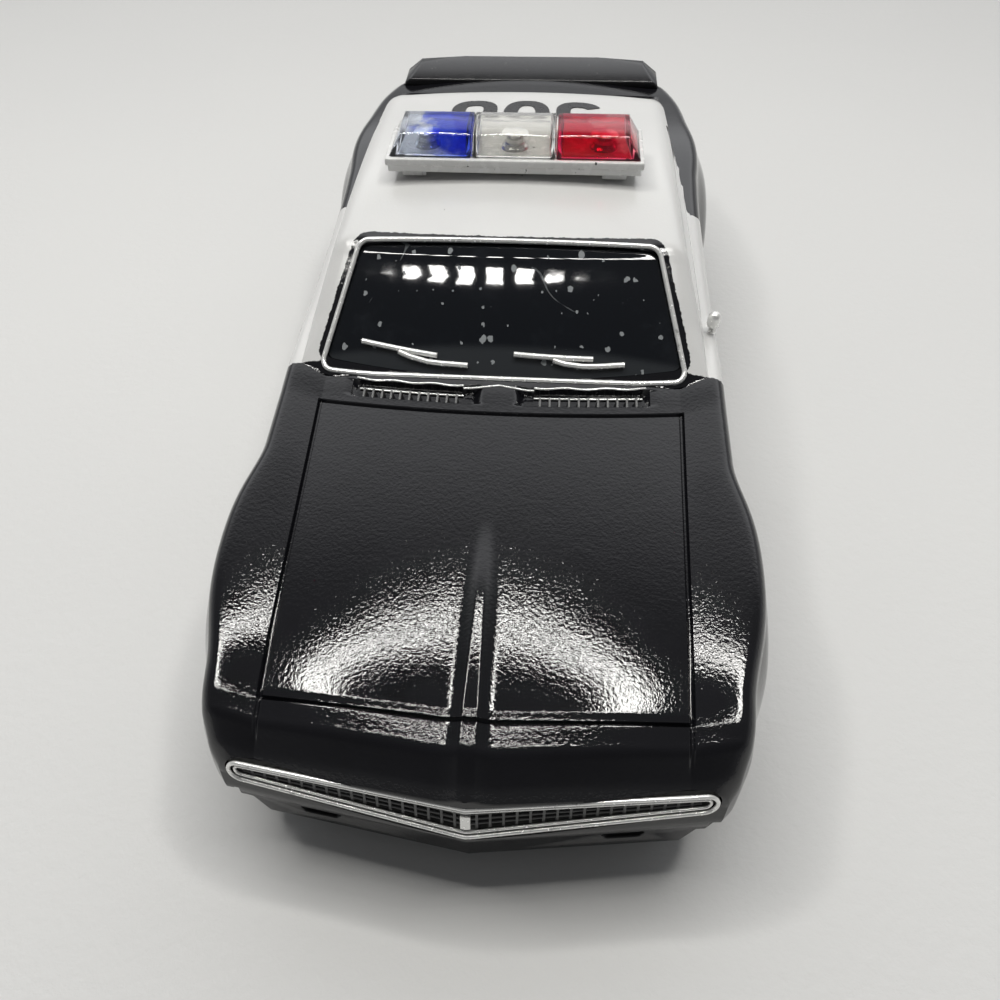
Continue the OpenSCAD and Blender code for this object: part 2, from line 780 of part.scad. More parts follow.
module wipers() {
    color("silver") for (x = [wiper_left_x, wiper_right_x]) {
        end = x + wiper_len;
        joint = mix(x, end, wiper_joint_share);
        knee = end + wiper_d;
        rod(glass_point(wiper_high, x), glass_point(wiper_mid, end), wiper_d);
        rod(glass_point(wiper_mid, joint), glass_point(wiper_low, knee), wiper_d);
        rod(glass_point(wiper_low, knee), glass_point(wiper_low, knee + wiper_arm), wiper_d);
    }
}

// Bars of the grille's grid in front view
module grille_bars() {
    pitch = grille_w / 2 / grille_bar_count;
    row = grille_mid_h / (grille_row_count + 1);
    for (i = [-grille_bar_count:grille_bar_count])
        translate([i * pitch - grille_bar_w / 2, grille_low_z]) square([grille_bar_w, grille_mid_h]);
    for (i = [1:grille_row_count])
        translate([-grille_w / 2, grille_low_z + i * row - grille_bar_w / 2])
        square([grille_w, grille_bar_w]);
}

module grille_ring(outer) {
    difference() {
        offset(delta = -outer) grille_outline(0);
        offset(delta = -outer - grille_rim) grille_outline(0);
    }
}

module grille_insert() {
    step = grille_rim + grille_groove;
    back = grille_floor_depth + over;
    color("silver") nose_leaned() {
        chevron(grille_depth - grille_floor_depth, grille_floor_depth) grille_outline(0);
        chevron(back + grille_proud, -grille_proud) grille_ring(0);
        chevron(back, 0) grille_ring(step);
        chevron(back - grille_floor_depth / 2, grille_floor_depth / 2) intersection() {
            offset(delta = -step) grille_outline(0);
            grille_bars();
        }
        chevron(back, 0) translate([-badge_w / 2, grille_low_z + (grille_mid_h - badge_h) / 2])
        square([badge_w, badge_h]);
    }
}

module lamp_outline() {
    for (s = [-1, 1])
        hull()
            for (e = [-1, 1])
                translate([s * lamp_x + e * (lamp_w - lamp_h) / 2, bumper_top_z - bumper_lip_h - lamp_h])
                circle(d = lamp_h, $fn = fine_fn / 2);
}

module front_bumper() {
    face = bumper_face_depth + valance_depth;
    color("#141416") difference() {
        chevron(bumper_depth - bumper_face_depth, bumper_face_depth) bumper_outline(0, 0);
        chevron(face + over, -over) translate([0, -bumper_lip_h]) bumper_outline(over, over);
        chevron(face + lamp_depth + over, -over) lamp_outline();
    }
}

module rear_bumper() {
    color("#141416") rear_bumper_block(0, bumper_proud + grille_proud);
}

module tail_lamps() {
    color("#7a1116") tail_lamp_blocks(0, tail_lamp_proud);
}

module rear_spoiler() {
    color("#141416") spoiler_block(0);
}

// Round mirror head on a short stalk that stands on the door's shoulder
module driver_mirror() {
    x = crest_x(mirror_y) + shoulder_w / 2;
    z = crest_z(mirror_y) - shoulder_h * (1 - sin(60)) + fit;
    color("silver") translate([x, along(mirror_y), z]) {
        cylinder(d = mirror_stalk_d, h = mirror_rise, $fn = fine_fn / 2);
        hull()
            for (e = [-1, 1])
                translate([0, 0, mirror_rise + e * (mirror_h - mirror_w) / 2])
                sphere(d = mirror_w, $fn = 14);
    }
}

// Light bar: the feet stand just clear of the crowned roof
bar_foot_z = roof_at(bar_y + bar_depth / 2, bar_foot_x - bar_foot_w / 2, 0) + fit;
bar_z = bar_foot_z + bar_foot_h;
lens_z = bar_z + bar_base_h;

module bar_block(inset, z, h) {
    translate([-bar_w / 2 + inset, along(bar_y) + inset, z])
    cube([bar_w - 2 * inset, bar_depth - 2 * inset, h]);
}

module lightbar_base() {
    mid = along(bar_y + bar_depth / 2);
    color("white") {
        bar_block(bar_step, bar_z, bar_step_h);
        bar_block(0, bar_z + bar_step_h, bar_base_h - bar_step_h);
        for (s = [-1, 1]) {
            translate([s * bar_foot_x - bar_foot_w / 2, mid - bar_foot_len / 2, bar_foot_z])
            cube([bar_foot_w, bar_foot_len, bar_foot_h]);
            translate([s * bar_pad_x - bar_pad_w / 2, mid - bar_foot_len / 2, bar_z - bar_pad_h])
            cube([bar_pad_w, bar_foot_len, bar_pad_h]);
        }
    }
}

// Box with a smaller top: each level is [x from, x to, y from, y to, z]
module tapered_box(low, high) {
    corners = [for (l = [low, high]) each [
        [l[0], l[2], l[4]], [l[1], l[2], l[4]], [l[1], l[3], l[4]], [l[0], l[3], l[4]]
    ]];
    polyhedron(corners, [
        [0, 1, 2, 3], [7, 6, 5, 4], [4, 5, 1, 0], [5, 6, 2, 1], [6, 7, 3, 2], [7, 4, 0, 3]
    ]);
}

// One lens form: sloped sides up to a ridge, then a shallow crown
module lens_form(x0, x1, lean0, lean1, inset, low_z) {
    front = along(bar_y) + lens_inset + inset;
    rear = along(bar_y + bar_depth) - lens_inset - inset;
    ridge = lens_z + lens_h - lens_crown - inset / 2;
    top = lens_z + lens_h - inset;
    c = lens_slope_w + lens_crown_w;
    tapered_box(
        [x0, x1, front, rear, low_z],
        [x0 + lean0, x1 - lean1, front + lens_slope_w, rear - lens_slope_w, ridge]
    );
    tapered_box(
        [x0 + lean0, x1 - lean1, front + lens_slope_w, rear - lens_slope_w, ridge],
        [x0 + lean0, x1 - lean1, front + c, rear - c, top]
    );
}

module lens(x0, x1, lean0, lean1) {
    difference() {
        lens_form(x0, x1, lean0, lean1, 0, lens_z);
        lens_form(x0 + lens_wall, x1 - lens_wall, lean0, lean1, lens_wall, lens_z - over);
    }
}

lens_end_x = bar_w / 2 - lens_inset;
lens_seam_x = lens_mid_w / 2;

module lens_blue() {
    color("#2233cc") lens(-lens_end_x, -lens_seam_x - fit / 2, lens_end_w, 0);
}

module lens_clear() {
    color("#e6e4dc") lens(-lens_seam_x + fit / 2, lens_seam_x - fit / 2, 0, 0);
}

module lens_red() {
    color("#c2102e") lens(lens_seam_x + fit / 2, lens_end_x, 0, lens_end_w);
}

// Waisted drums under the lenses
module beacon_drums() {
    color("silver") for (x = [-drum_x, 0, drum_x])
        translate([x, along(bar_y + bar_depth / 2), lens_z]) rotate_extrude($fn = fine_fn) polygon([
            [0, 0], [drum_d / 2, 0], [drum_waist_d / 2, drum_h / 3], [drum_waist_d / 2, drum_h * 2 / 3],
            [drum_d / 2, drum_h], [0, drum_h]
        ]);
}

// Outline of the base plate: it follows the inside of the sills and steps in at the wheels
module plate_outline() {
    tip = [0, along(plate_front_y)];
    edge = [for (t = stations(plate_front_y, plate_rear_y, hollow_count))
        let (x = side_half(t) - sill_tuck - wall - 2 * fit) [x, along(t + bend(t, x))]];
    difference() {
        polygon(concat([tip], edge, [for (p = backward(edge)) [-p[0], p[1]]]));
        for (y = [front_axle_y, rear_axle_y], s = [-1, 1])
            translate([s * (plate_waist_w + half_w) / 2, along(y)])
            square([half_w, tyre_d + 2 * well_gap], center = true);
    }
}

module carrier(y) {
    h = axle_z + carrier_cap - floor_z;
    translate([-carrier_w / 2, along(y) - carrier_len / 2, floor_z]) cube([carrier_w, carrier_len, h]);
}

module axle_bore(y, d, length) {
    translate([-length / 2, along(y), axle_z]) rotate([0, 90, 0])
    cylinder(d = d, h = length, $fn = fine_fn);
}

// Exhaust relief on the underside: two pipes and two flat silencers
module exhaust(s) {
    rear = rear_axle_y - carrier_len;
    translate([s * pipe_x, along(pipe_front_y), floor_z]) rotate([-90, 0, 0])
    cylinder(d = pipe_d, h = rear - pipe_front_y, $fn = fine_fn / 2);
    translate([s * pipe_x - silencer_w / 2, along(rear - 2 * silencer_len), floor_z - silencer_h])
    cube([silencer_w, silencer_len, silencer_h + plate_t / 2]);
}

module chassis_plate() {
    color("#202022") difference() {
        union() {
            translate([0, 0, floor_z]) linear_extrude(plate_t) plate_outline();
            carrier(front_axle_y);
            carrier(rear_axle_y);
            exhaust(-1);
            exhaust(1);
        }
        for (y = [front_axle_y, rear_axle_y])
            axle_bore(y, axle_d + 2 * axle_play, carrier_w + 2 * over);
        posts(rivet_d + 2 * fit, floor_z - over, plate_top_z + over);
        posts(rivet_head_d + 2 * fit, floor_z - over, floor_z + rivet_head_h + fit);
    }
}

module base_rivets() {
    color("silver") {
        posts(rivet_d, floor_z, floor_z + rivet_len);
        posts(rivet_head_d, floor_z, floor_z + rivet_head_h);
    }
}

// Cushion with rounded edges, used for the seats
module cushion(w, l, h) {
    hull()
        for (x = [seat_r, w - seat_r], y = [seat_r, l - seat_r], z = [seat_r, h - seat_r])
            translate([x - w / 2, y, z]) sphere(r = seat_r, $fn = 8);
}

module seat(x, y, w, z) {
    translate([x, along(y), z]) {
        cushion(w, seat_len, seat_h);
        translate([0, seat_len - seat_back_t, 0]) cushion(w, seat_back_t, seat_back_h);
    }
}

module steering_wheel(z) {
    translate([seat_x, along(tub_front_y + dash_len), z]) rotate([wheel_lean_angle, 0, 0]) {
        translate([0, 0, -column_len]) cylinder(d = wheel_rod * 2, h = 2 * column_len, $fn = fine_fn / 2);
        translate([0, 0, -column_len])
        rotate_extrude($fn = fine_fn) translate([wheel_r - wheel_rod / 2, 0])
        circle(d = wheel_rod, $fn = 16);
        translate([-wheel_r, -wheel_rod / 2, -column_len - wheel_rod / 2])
        cube([2 * wheel_r, wheel_rod, wheel_rod]);
    }
}

module interior_tub() {
    z = plate_top_z + fit;
    top = z + tub_h;
    length = tub_rear_y - tub_front_y;
    color("#26262a") {
        difference() {
            translate([-tub_w / 2, along(tub_front_y), z]) cube([tub_w, length, tub_h]);
            translate([-tub_w / 2 + tub_wall, along(tub_front_y) + tub_wall, z + tub_wall])
            cube([tub_w - 2 * tub_wall, length - 2 * tub_wall, tub_h]);
        }
        translate([-tub_w / 2, along(tub_front_y), top - dash_h]) cube([tub_w, dash_len, dash_h]);
        for (s = [-1, 1])
            seat(s * seat_x, seat_y, seat_w, z + tub_wall / 2);
        seat(0, bench_y, tub_w - 2 * tub_wall, z + tub_wall / 2);
        steering_wheel(top - wheel_drop);
    }
}

// Axles reach into the hubs of the wheels
hub_depth = tyre_w - rim_disc_depth - rim_disc_t / 2;
axle_len = track_w - 2 * (tyre_w - hub_depth) - 2 * fit;

module axle(y) {
    color("silver") axle_bore(y, axle_d, axle_len);
}

module front_axle() {
    axle(front_axle_y);
}

module rear_axle() {
    axle(rear_axle_y);
}

// Wheel frame: z = 0 is the inner face, and +z points out of the car
module wheel_at(y, s) {
    translate([s * (track_w / 2 - tyre_w), along(y), axle_z]) rotate([0, s * 90, 0]) children();
}

module rim(y, s) {
    r = rim_d / 2;
    disc_z = tyre_w - rim_disc_depth - rim_disc_t;
    color("silver") wheel_at(y, s) difference() {
        union() {
            rotate_extrude($fn = fine_fn) polygon([
                [r - rim_barrel_t, rim_inset], [r, rim_inset], [r, tyre_w - rim_inset],
                [r - rim_barrel_t, tyre_w - rim_inset], [r - 2 * rim_barrel_t, disc_z + rim_disc_t],
                [0, disc_z + rim_disc_t], [0, disc_z], [r - rim_barrel_t, disc_z]
            ]);
            translate([0, 0, rim_inset]) cylinder(d = hub_d, h = disc_z, $fn = fine_fn);
            translate([0, 0, disc_z + rim_disc_t])
            cylinder(d1 = cap_d, d2 = cap_d / 2, h = cap_h, $fn = fine_fn);
        }
        translate([0, 0, -over])
        cylinder(d = axle_d + 2 * press_play, h = hub_depth + over, $fn = fine_fn);
        for (i = [0:rim_slot_count - 1])
            rotate([0, 0, i * 360 / rim_slot_count]) translate([rim_slot_r, 0, disc_z - over])
            cylinder(d = rim_slot_d, h = rim_disc_t + 2 * over, $fn = fine_fn / 2);
    }
}

module tyre(y, s) {
    bead = rim_d / 2 + press_play;
    tread = tyre_d / 2;
    color("#1a1a1a") wheel_at(y, s) rotate_extrude($fn = fine_fn) difference() {
        translate([bead, 0]) rounded(tyre_shoulder_r) square([tread - bead, tyre_w]);
        for (u = [1, 2])
            translate([tread - tyre_groove, tyre_w * u / 3 - tyre_groove]) square([over, 2 * tyre_groove]);
    }
}

module rim_front_left() {
    rim(front_axle_y, 1);
}

module rim_front_right() {
    rim(front_axle_y, -1);
}

module rim_rear_left() {
    rim(rear_axle_y, 1);
}

module rim_rear_right() {
    rim(rear_axle_y, -1);
}

module tyre_front_left() {
    tyre(front_axle_y, 1);
}

module tyre_front_right() {
    tyre(front_axle_y, -1);
}

module tyre_rear_left() {
    tyre(rear_axle_y, 1);
}

module tyre_rear_right() {
    tyre(rear_axle_y, -1);
}

body_shell();
window_insert();
wipers();
grille_insert();
front_bumper();
rear_bumper();
tail_lamps();
rear_spoiler();
driver_mirror();
lightbar_base();
lens_blue();
lens_clear();
lens_red();
beacon_drums();
chassis_plate();
interior_tub();
base_rivets();
front_axle();
rear_axle();
rim_front_left();
rim_front_right();
rim_rear_left();
rim_rear_right();
tyre_front_left();
tyre_front_right();
tyre_rear_left();
tyre_rear_right();
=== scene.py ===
# %% [markdown]
# # A toy police car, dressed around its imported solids
# The car is a pocket die-cast coupe: a painted metal casting, a smoked window moulding,
# a few bright trim pieces and two rolling wheel sets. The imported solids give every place
# and size. This lesson adds what a solid model leaves out: fine surfaces, paint and wear.

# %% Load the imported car
import math

import bmesh
import bpy
import numpy as np
from mathutils import Matrix, Vector


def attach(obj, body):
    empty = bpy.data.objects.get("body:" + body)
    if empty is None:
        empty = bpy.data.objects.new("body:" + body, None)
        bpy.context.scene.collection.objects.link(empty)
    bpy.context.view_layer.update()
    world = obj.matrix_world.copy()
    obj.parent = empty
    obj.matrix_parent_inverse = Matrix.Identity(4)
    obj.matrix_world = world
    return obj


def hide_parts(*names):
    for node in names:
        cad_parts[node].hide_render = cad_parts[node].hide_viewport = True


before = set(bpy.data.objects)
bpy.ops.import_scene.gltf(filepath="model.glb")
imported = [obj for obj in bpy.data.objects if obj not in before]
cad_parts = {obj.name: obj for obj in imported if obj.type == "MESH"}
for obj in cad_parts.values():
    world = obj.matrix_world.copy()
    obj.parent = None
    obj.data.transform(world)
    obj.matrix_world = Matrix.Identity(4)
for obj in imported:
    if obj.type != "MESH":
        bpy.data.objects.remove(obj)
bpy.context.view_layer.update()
scene = bpy.context.scene

# %% [markdown]
# ## Sizes
# All sizes are in millimetres and are measured from the nose tip backwards, as on the
# solids. One small function turns them into Blender's metres with the car's middle at zero.

# %% Named sizes of the casting
MM = 0.001
BODY_LEN = 73.6
HALF_LEN = BODY_LEN / 2
HALF_W = 14.8
SHELL_LEN = 73.0
COWL_Z, SILL_Z, WAIST_Z = 14.8, 3.3, 8.8
SILL_TUCK, SHOULDER_TUCK, SHOULDER_H, SHOULDER_W = 1.1, 0.5, 1.0, 0.9
WALL, FIT = 0.8, 0.1
CREST_DROP, VALLEY = 0.6, 0.25
BONNET_FRONT_W, BONNET_REAR_W = 21.8, 22.8
BONNET_FRONT_Y, BONNET_REAR_Y = 3.8, 23.3
SEAM_DEPTH, SEAM_FLOOR, SEAM_EDGE = 0.25, 0.05, 0.17
NOSE_VEE, VEE_LEN, COWL_BOW, NOSE_LEAN = 1.75, 9.0, 1.6, math.radians(11)
SPEAR_H, SPEAR_W, SPEAR_LEN = 0.3, 3.4, 15.5
BELT_Z, CABIN_W, RAIL_W, ROOF_Z = 14.2, 26.6, 22.2, 20.5
ROOF_CROWN, RAIL_R = 0.5, 1.1
SCREEN_Y, HEADER_Y, HEADER_Z, PEAK_Y = 26.2, 33.9, 19.7, 42.5
ROOF_REAR_Y, ROOF_REAR_Z, DECK_Y = 57.0, 19.2, 66.2
DECK_Z = COWL_Z + CREST_DROP / 2
SCREEN_W, HEADER_W, WINDOW_R = 23.4, 19.4, 0.7
SIDE_FRONT_Y, SIDE_REAR_Y, SIDE_WINDOW_H = 31.4, 55.0, 4.0
GRILLE_W, GRILLE_LOW_Z, GRILLE_MID_H, GRILLE_TIP_H = 24.9, 7.1, 2.5, 1.5
FRONT_AXLE_Y, REAR_AXLE_Y, AXLE_Z = 14.7, 57.6, 5.2
ARCH_R, FLARE_FRONT, FLARE_REAR, FLARE_W = 5.8, 1.1, 1.15, 4.2
DOOR_FRONT_Y, DOOR_REAR_Y = 27.0, 46.5
PANE_DEPTH, GLASS_OUT, GLASS_IN, GLASS_FOOT = 0.3, 0.9, 1.6, 12.6
GRILLE_TIP_LIFT = 0.3

PLAN_SHARES = [(0, 0.875), (0.008, 0.915), (0.03, 0.955), (0.09, 0.982), (0.24, 0.995),
               (0.48, 0.985), (0.64, 0.992), (0.78, 1.012), (0.89, 0.985), (0.955, 0.93),
               (0.985, 0.875), (1, 0.82)]
SPINE_SHARES = [(0, 0.665), (0.006, 0.715), (0.02, 0.779), (0.0274, 0.7958), (0.033, 0.8005),
                (0.0425, 0.8086), (0.052, 0.818), (0.07, 0.832), (0.1, 0.8515), (0.16, 0.886),
                (0.317, 0.973), (0.36, 1), (0.5, 1.01), (0.68, 1.03), (0.8, 1.05),
                (0.9, 1.02), (0.955, 0.99), (0.985, 0.965), (1, 0.92)]
CABIN_SHARES = [(0, 0.99), (0.2, 1), (0.55, 0.995), (0.8, 0.965), (1, 0.92)]


def metres(points):
    """Points in millimetres behind the nose tip become metres in the car's frame."""
    p = np.asarray(points, float).copy()
    p[..., 1] -= HALF_LEN
    return p * MM


print("casting %.1f x %.1f mm, roof at %.1f mm" % (BODY_LEN, 2 * HALF_W, ROOF_Z))

# %% [markdown]
# ## The casting's surface as formulas
# The real body is a zinc casting from a polished mould, so its curves run without a kink.
# They could be drawn by eye. Formulas were chosen because they are the same ones that shape
# the solid: the fine skin lies on it, and grooves, glass and trim follow. Key points are
# joined by Hermite curves, which pass through each point smoothly.

# %% Curves and blends
def curve(keys, v):
    k = np.asarray(keys, float)
    x, y, n = k[:, 0], k[:, 1], len(k)
    lo, hi = np.maximum(np.arange(n) - 1, 0), np.minimum(np.arange(n) + 1, n - 1)
    slope = (y[hi] - y[lo]) / (x[hi] - x[lo])
    v = np.asarray(v, float)
    i = np.clip(np.searchsorted(x, v, side="right") - 1, 0, n - 2)
    h = x[i + 1] - x[i]
    u = np.clip((v - x[i]) / h, 0, 1)
    return ((2 * u**3 - 3 * u**2 + 1) * y[i] + (u**3 - 2 * u**2 + u) * h * slope[i]
            + (3 * u**2 - 2 * u**3) * y[i + 1] + (u**3 - u**2) * h * slope[i + 1])


def mix(a, b, u):
    return a + (b - a) * u


def ramp(a, b, v):
    u = np.clip((np.asarray(v, float) - a) / (b - a), 0, 1)
    return u * u * (3 - 2 * u)


print("a blend at its middle", float(ramp(0, 1, 0.5)))

# %% The lower body's formulas
def side_half(t):
    return HALF_W * curve(PLAN_SHARES, np.asarray(t) / SHELL_LEN)


def spine_z(t):
    return COWL_Z * curve(SPINE_SHARES, np.asarray(t) / SHELL_LEN)


def crest_z(t):
    return spine_z(t) - CREST_DROP


def bend(t, x):
    s = np.abs(x) / (SCREEN_W / 2)
    nose = NOSE_VEE * (1 - ramp(0, VEE_LEN, t))
    cowl = COWL_BOW * ramp(0, BONNET_REAR_Y, t) * (1 - ramp(SCREEN_Y, PEAK_Y, t))
    return nose * s**1.15 + cowl * s * s


def lean_back(t, z):
    return np.maximum(0, z - GRILLE_LOW_Z) * math.tan(NOSE_LEAN) * (1 - ramp(0, BONNET_FRONT_Y, t))


def flare(y, z, axle_y, out):
    return out * (1 - ramp(ARCH_R, ARCH_R + FLARE_W, np.hypot(y - axle_y, z - AXLE_Z)))


def side_x(t, z):
    w = side_half(t)
    y = t + bend(t, w)
    low = z < WAIST_Z
    u = np.where(low, (WAIST_Z - z) / (WAIST_Z - SILL_Z), (z - WAIST_Z) / (crest_z(t) - WAIST_Z))
    return (w - np.where(low, SILL_TUCK, SHOULDER_TUCK) * u * u
            + flare(y, z, FRONT_AXLE_Y, FLARE_FRONT) + flare(y, z, REAR_AXLE_Y, FLARE_REAR))


def crest_x(t):
    return side_x(t, crest_z(t) - SHOULDER_H) - SHOULDER_W


def bonnet_edge(t, cx):
    share = np.clip((t - BONNET_FRONT_Y) / (BONNET_REAR_Y - BONNET_FRONT_Y), 0, 1)
    return np.minimum(mix(BONNET_FRONT_W, BONNET_REAR_W, share) / 2, cx * 0.9)


def spear(t, x):
    s = np.clip(1 - t / SPEAR_LEN, 0, 1)
    w = SPEAR_W / 2 * mix(0.4, 1, s)
    foot = np.clip((w - np.abs(x)) / (w * 0.75), 0, 1)
    return SPEAR_H * ramp(0, 1, 3 * s) * foot * foot


def top_z(t, x, cx):
    xe = bonnet_edge(t, cx)
    ze = crest_z(t) - VALLEY * (1 - ramp(SCREEN_Y, HEADER_Y, t))
    u = (np.abs(x) - xe) / (cx - xe)
    inner = ze + (spine_z(t) - ze) * (1 - x * x / (xe * xe)) + spear(t, x)
    return np.where(np.abs(x) <= xe, inner, ze + (crest_z(t) - ze) * (1 - (1 - u) ** 2))


print("bonnet rises from %.2f to %.2f" % (spine_z(BONNET_FRONT_Y), spine_z(BONNET_REAR_Y)))

# %% The cabin's formulas
CABIN_KEYS = [(SCREEN_Y - WALL, COWL_Z - WALL),
              (mix(SCREEN_Y, HEADER_Y, 0.5), mix(COWL_Z, HEADER_Z, 0.5)),
              (mix(SCREEN_Y, HEADER_Y, 0.88), mix(COWL_Z, HEADER_Z, 0.88)),
              (HEADER_Y, HEADER_Z), (PEAK_Y, ROOF_Z),
              (ROOF_REAR_Y - RAIL_R, ROOF_REAR_Z + RAIL_R / 4), (ROOF_REAR_Y, ROOF_REAR_Z),
              (mix(ROOF_REAR_Y, DECK_Y, 0.5), mix(ROOF_REAR_Z, DECK_Z, 0.5)),
              (DECK_Y, DECK_Z), (DECK_Y + WALL, DECK_Z - WALL / 2)]


def cabin_z(t):
    return curve(CABIN_KEYS, t)


def cabin_side(t, z):
    half = CABIN_W / 2 * curve(CABIN_SHARES, np.clip((t - SCREEN_Y) / (DECK_Y - SCREEN_Y), 0, 1))
    return half - (CABIN_W - RAIL_W) / 2 * (z - BELT_Z) / (ROOF_Z - ROOF_CROWN - BELT_Z)


def crown_fall(t):
    return ROOF_CROWN * np.clip((cabin_z(t) - BELT_Z + WALL) / (ROOF_Z - BELT_Z), 0, 1)


def roof_at(t, x, inset=0.0):
    crown = crown_fall(t)
    w = cabin_side(t, cabin_z(t) - inset - crown) - inset
    return cabin_z(t) - inset - crown * x * x / (w * w)


print("roof peak %.2f, cowl %.2f" % (roof_at(PEAK_Y, 0), spine_z(SCREEN_Y)))

# %% [markdown]
# ## Meshes from rings
# A loft is a row of rings with the same number of points, skinned with quads. Half a
# section is enough: the other half is its mirror image. The ends are closed by strips.
# A cage with a Subdivision Surface is the usual way for such a body. Rings were chosen
# because every panel gap can then have rows of points of its own.

# %% Mesh helpers
def new_object(name, verts, faces):
    mesh = bpy.data.meshes.new(name)
    mesh.from_pydata([tuple(v) for v in np.asarray(verts, float)], [], faces)
    mesh.validate()
    obj = bpy.data.objects.new(name, mesh)
    scene.collection.objects.link(obj)
    return obj


def recalc(obj):
    bm = bmesh.new()
    bm.from_mesh(obj.data)
    bmesh.ops.recalc_face_normals(bm, faces=bm.faces)
    bm.to_mesh(obj.data)
    bm.free()


def solid(name, points_mm, faces):
    obj = new_object(name, metres(points_mm), faces)
    recalc(obj)
    return obj


def skin_faces(n, m, closed=False):
    """Quads between n rings of m points, and back to the first ring if closed."""
    faces = []
    for i in range(n if closed else n - 1):
        here, there = i * m, (i + 1) % n * m
        faces += [(here + j, there + j, there + (j + 1) % m, here + (j + 1) % m) for j in range(m)]
    return faces


def unit(v):
    return v / np.linalg.norm(v, axis=1)[:, None]


def tangents(p, closed=True):
    """Directions along a path, averaged over the two steps at each point."""
    ahead, behind = np.roll(p, -1, 0) - p, p - np.roll(p, 1, 0)
    if not closed:
        ahead[-1], behind[0] = behind[-1], ahead[0]
    return unit(unit(ahead) + unit(behind))


print("two rings of four points make", len(skin_faces(2, 4)), "quads")

# %% Loft
def ring(half):
    return np.concatenate([half, half[-2::-1] * (-1, 1, 1)])


def loft(name, rings):
    rings = np.asarray(rings, float)
    n, m = rings.shape[:2]
    front = []
    for j in range((m - 3) // 2 + 1):
        c, d = m - 2 - j, m - 1 - j
        front.append((j, j + 1, c, d) if c > j + 1 else (j, j + 1, d))
    back = [tuple((n - 1) * m + v for v in reversed(f)) for f in front]
    return solid(name, rings.reshape(-1, 3), skin_faces(n, m) + front + back)


def placed(t, half):
    x, z = half[:, 0], half[:, 1]
    return np.stack([x, t + bend(t, x) + lean_back(t, z), z], 1)


def stations(a, b, n):
    return mix(a, b, (1 - np.cos(np.pi * np.arange(n + 1) / n)) / 2)


print("stations crowd the ends:", np.round(stations(0, 1, 4), 3))

# %% Baking and cutting
def baked(obj, sharp_deg=35):
    """The evaluated shape as a plain mesh with its modifiers removed."""
    dg = bpy.context.evaluated_depsgraph_get()
    mesh = bpy.data.meshes.new_from_object(obj.evaluated_get(dg))
    obj.modifiers.clear()
    obj.data = mesh
    mesh.polygons.foreach_set("use_smooth", [True] * len(mesh.polygons))
    mesh.set_sharp_from_angle(angle=math.radians(sharp_deg))
    mesh.name = obj.name
    mesh.materials.clear()
    return obj


def boolean(obj, operation, cutters):
    for cutter in cutters:
        mod = obj.modifiers.new("cut", "BOOLEAN")
        mod.operation, mod.object, mod.solver = operation, cutter, "MANIFOLD"
    baked(obj)
    for cutter in cutters:
        bpy.data.objects.remove(cutter)
    return obj


# %% [markdown]
# ## The lower body
# On the toy the bonnet and doors are only engraved lines. They could be a bump in the paint,
# but a real groove keeps its shadow from every side. The grid has extra lines on both sides
# of each gap, and a groove function pushes those points in.

# %% Grooves, lip and air intake
GROOVE_STEPS = np.array([0.22, 0.17, 0.13, 0.09, 0.05])
LIP_STEPS = np.array([0.3, 0.38, 0.46, 0.55, 0.64, 0.75])
LIP_DROP = 0.045
INTAKE_FRONT_Y, INTAKE_BACK_Y, INTAKE_DEPTH = 24.0, 25.62, 0.5
INTAKE_IN_X, INTAKE_OUT_X = 0.9, 9.0


def groove(u):
    return SEAM_DEPTH * (1 - ramp(SEAM_FLOOR, SEAM_EDGE, np.abs(u)))


def cowl_dip(t, x):
    """The trough of the air intake, in two lobes between the bonnet and the windscreen."""
    far = np.abs(x)
    across = ramp(INTAKE_IN_X, INTAKE_IN_X + 0.8, far) * (1 - ramp(INTAKE_OUT_X, INTAKE_OUT_X + 0.6, far))
    back_edge = INTAKE_BACK_Y - 0.25 * ramp(0.8, 2.4, far)
    along = ramp(INTAKE_FRONT_Y, INTAKE_FRONT_Y + 0.2, t) * (1 - ramp(back_edge - 0.12, back_edge, t))
    return INTAKE_DEPTH * across * along


print("seam depth %.2f, intake depth %.2f" % (groove(0.0), cowl_dip(24.8, 5.0)))

# %% Body sections
CREASE_SHARE, SEAM_MARGIN, RIDGE_GRID = 0.45, 0.3, 2.1


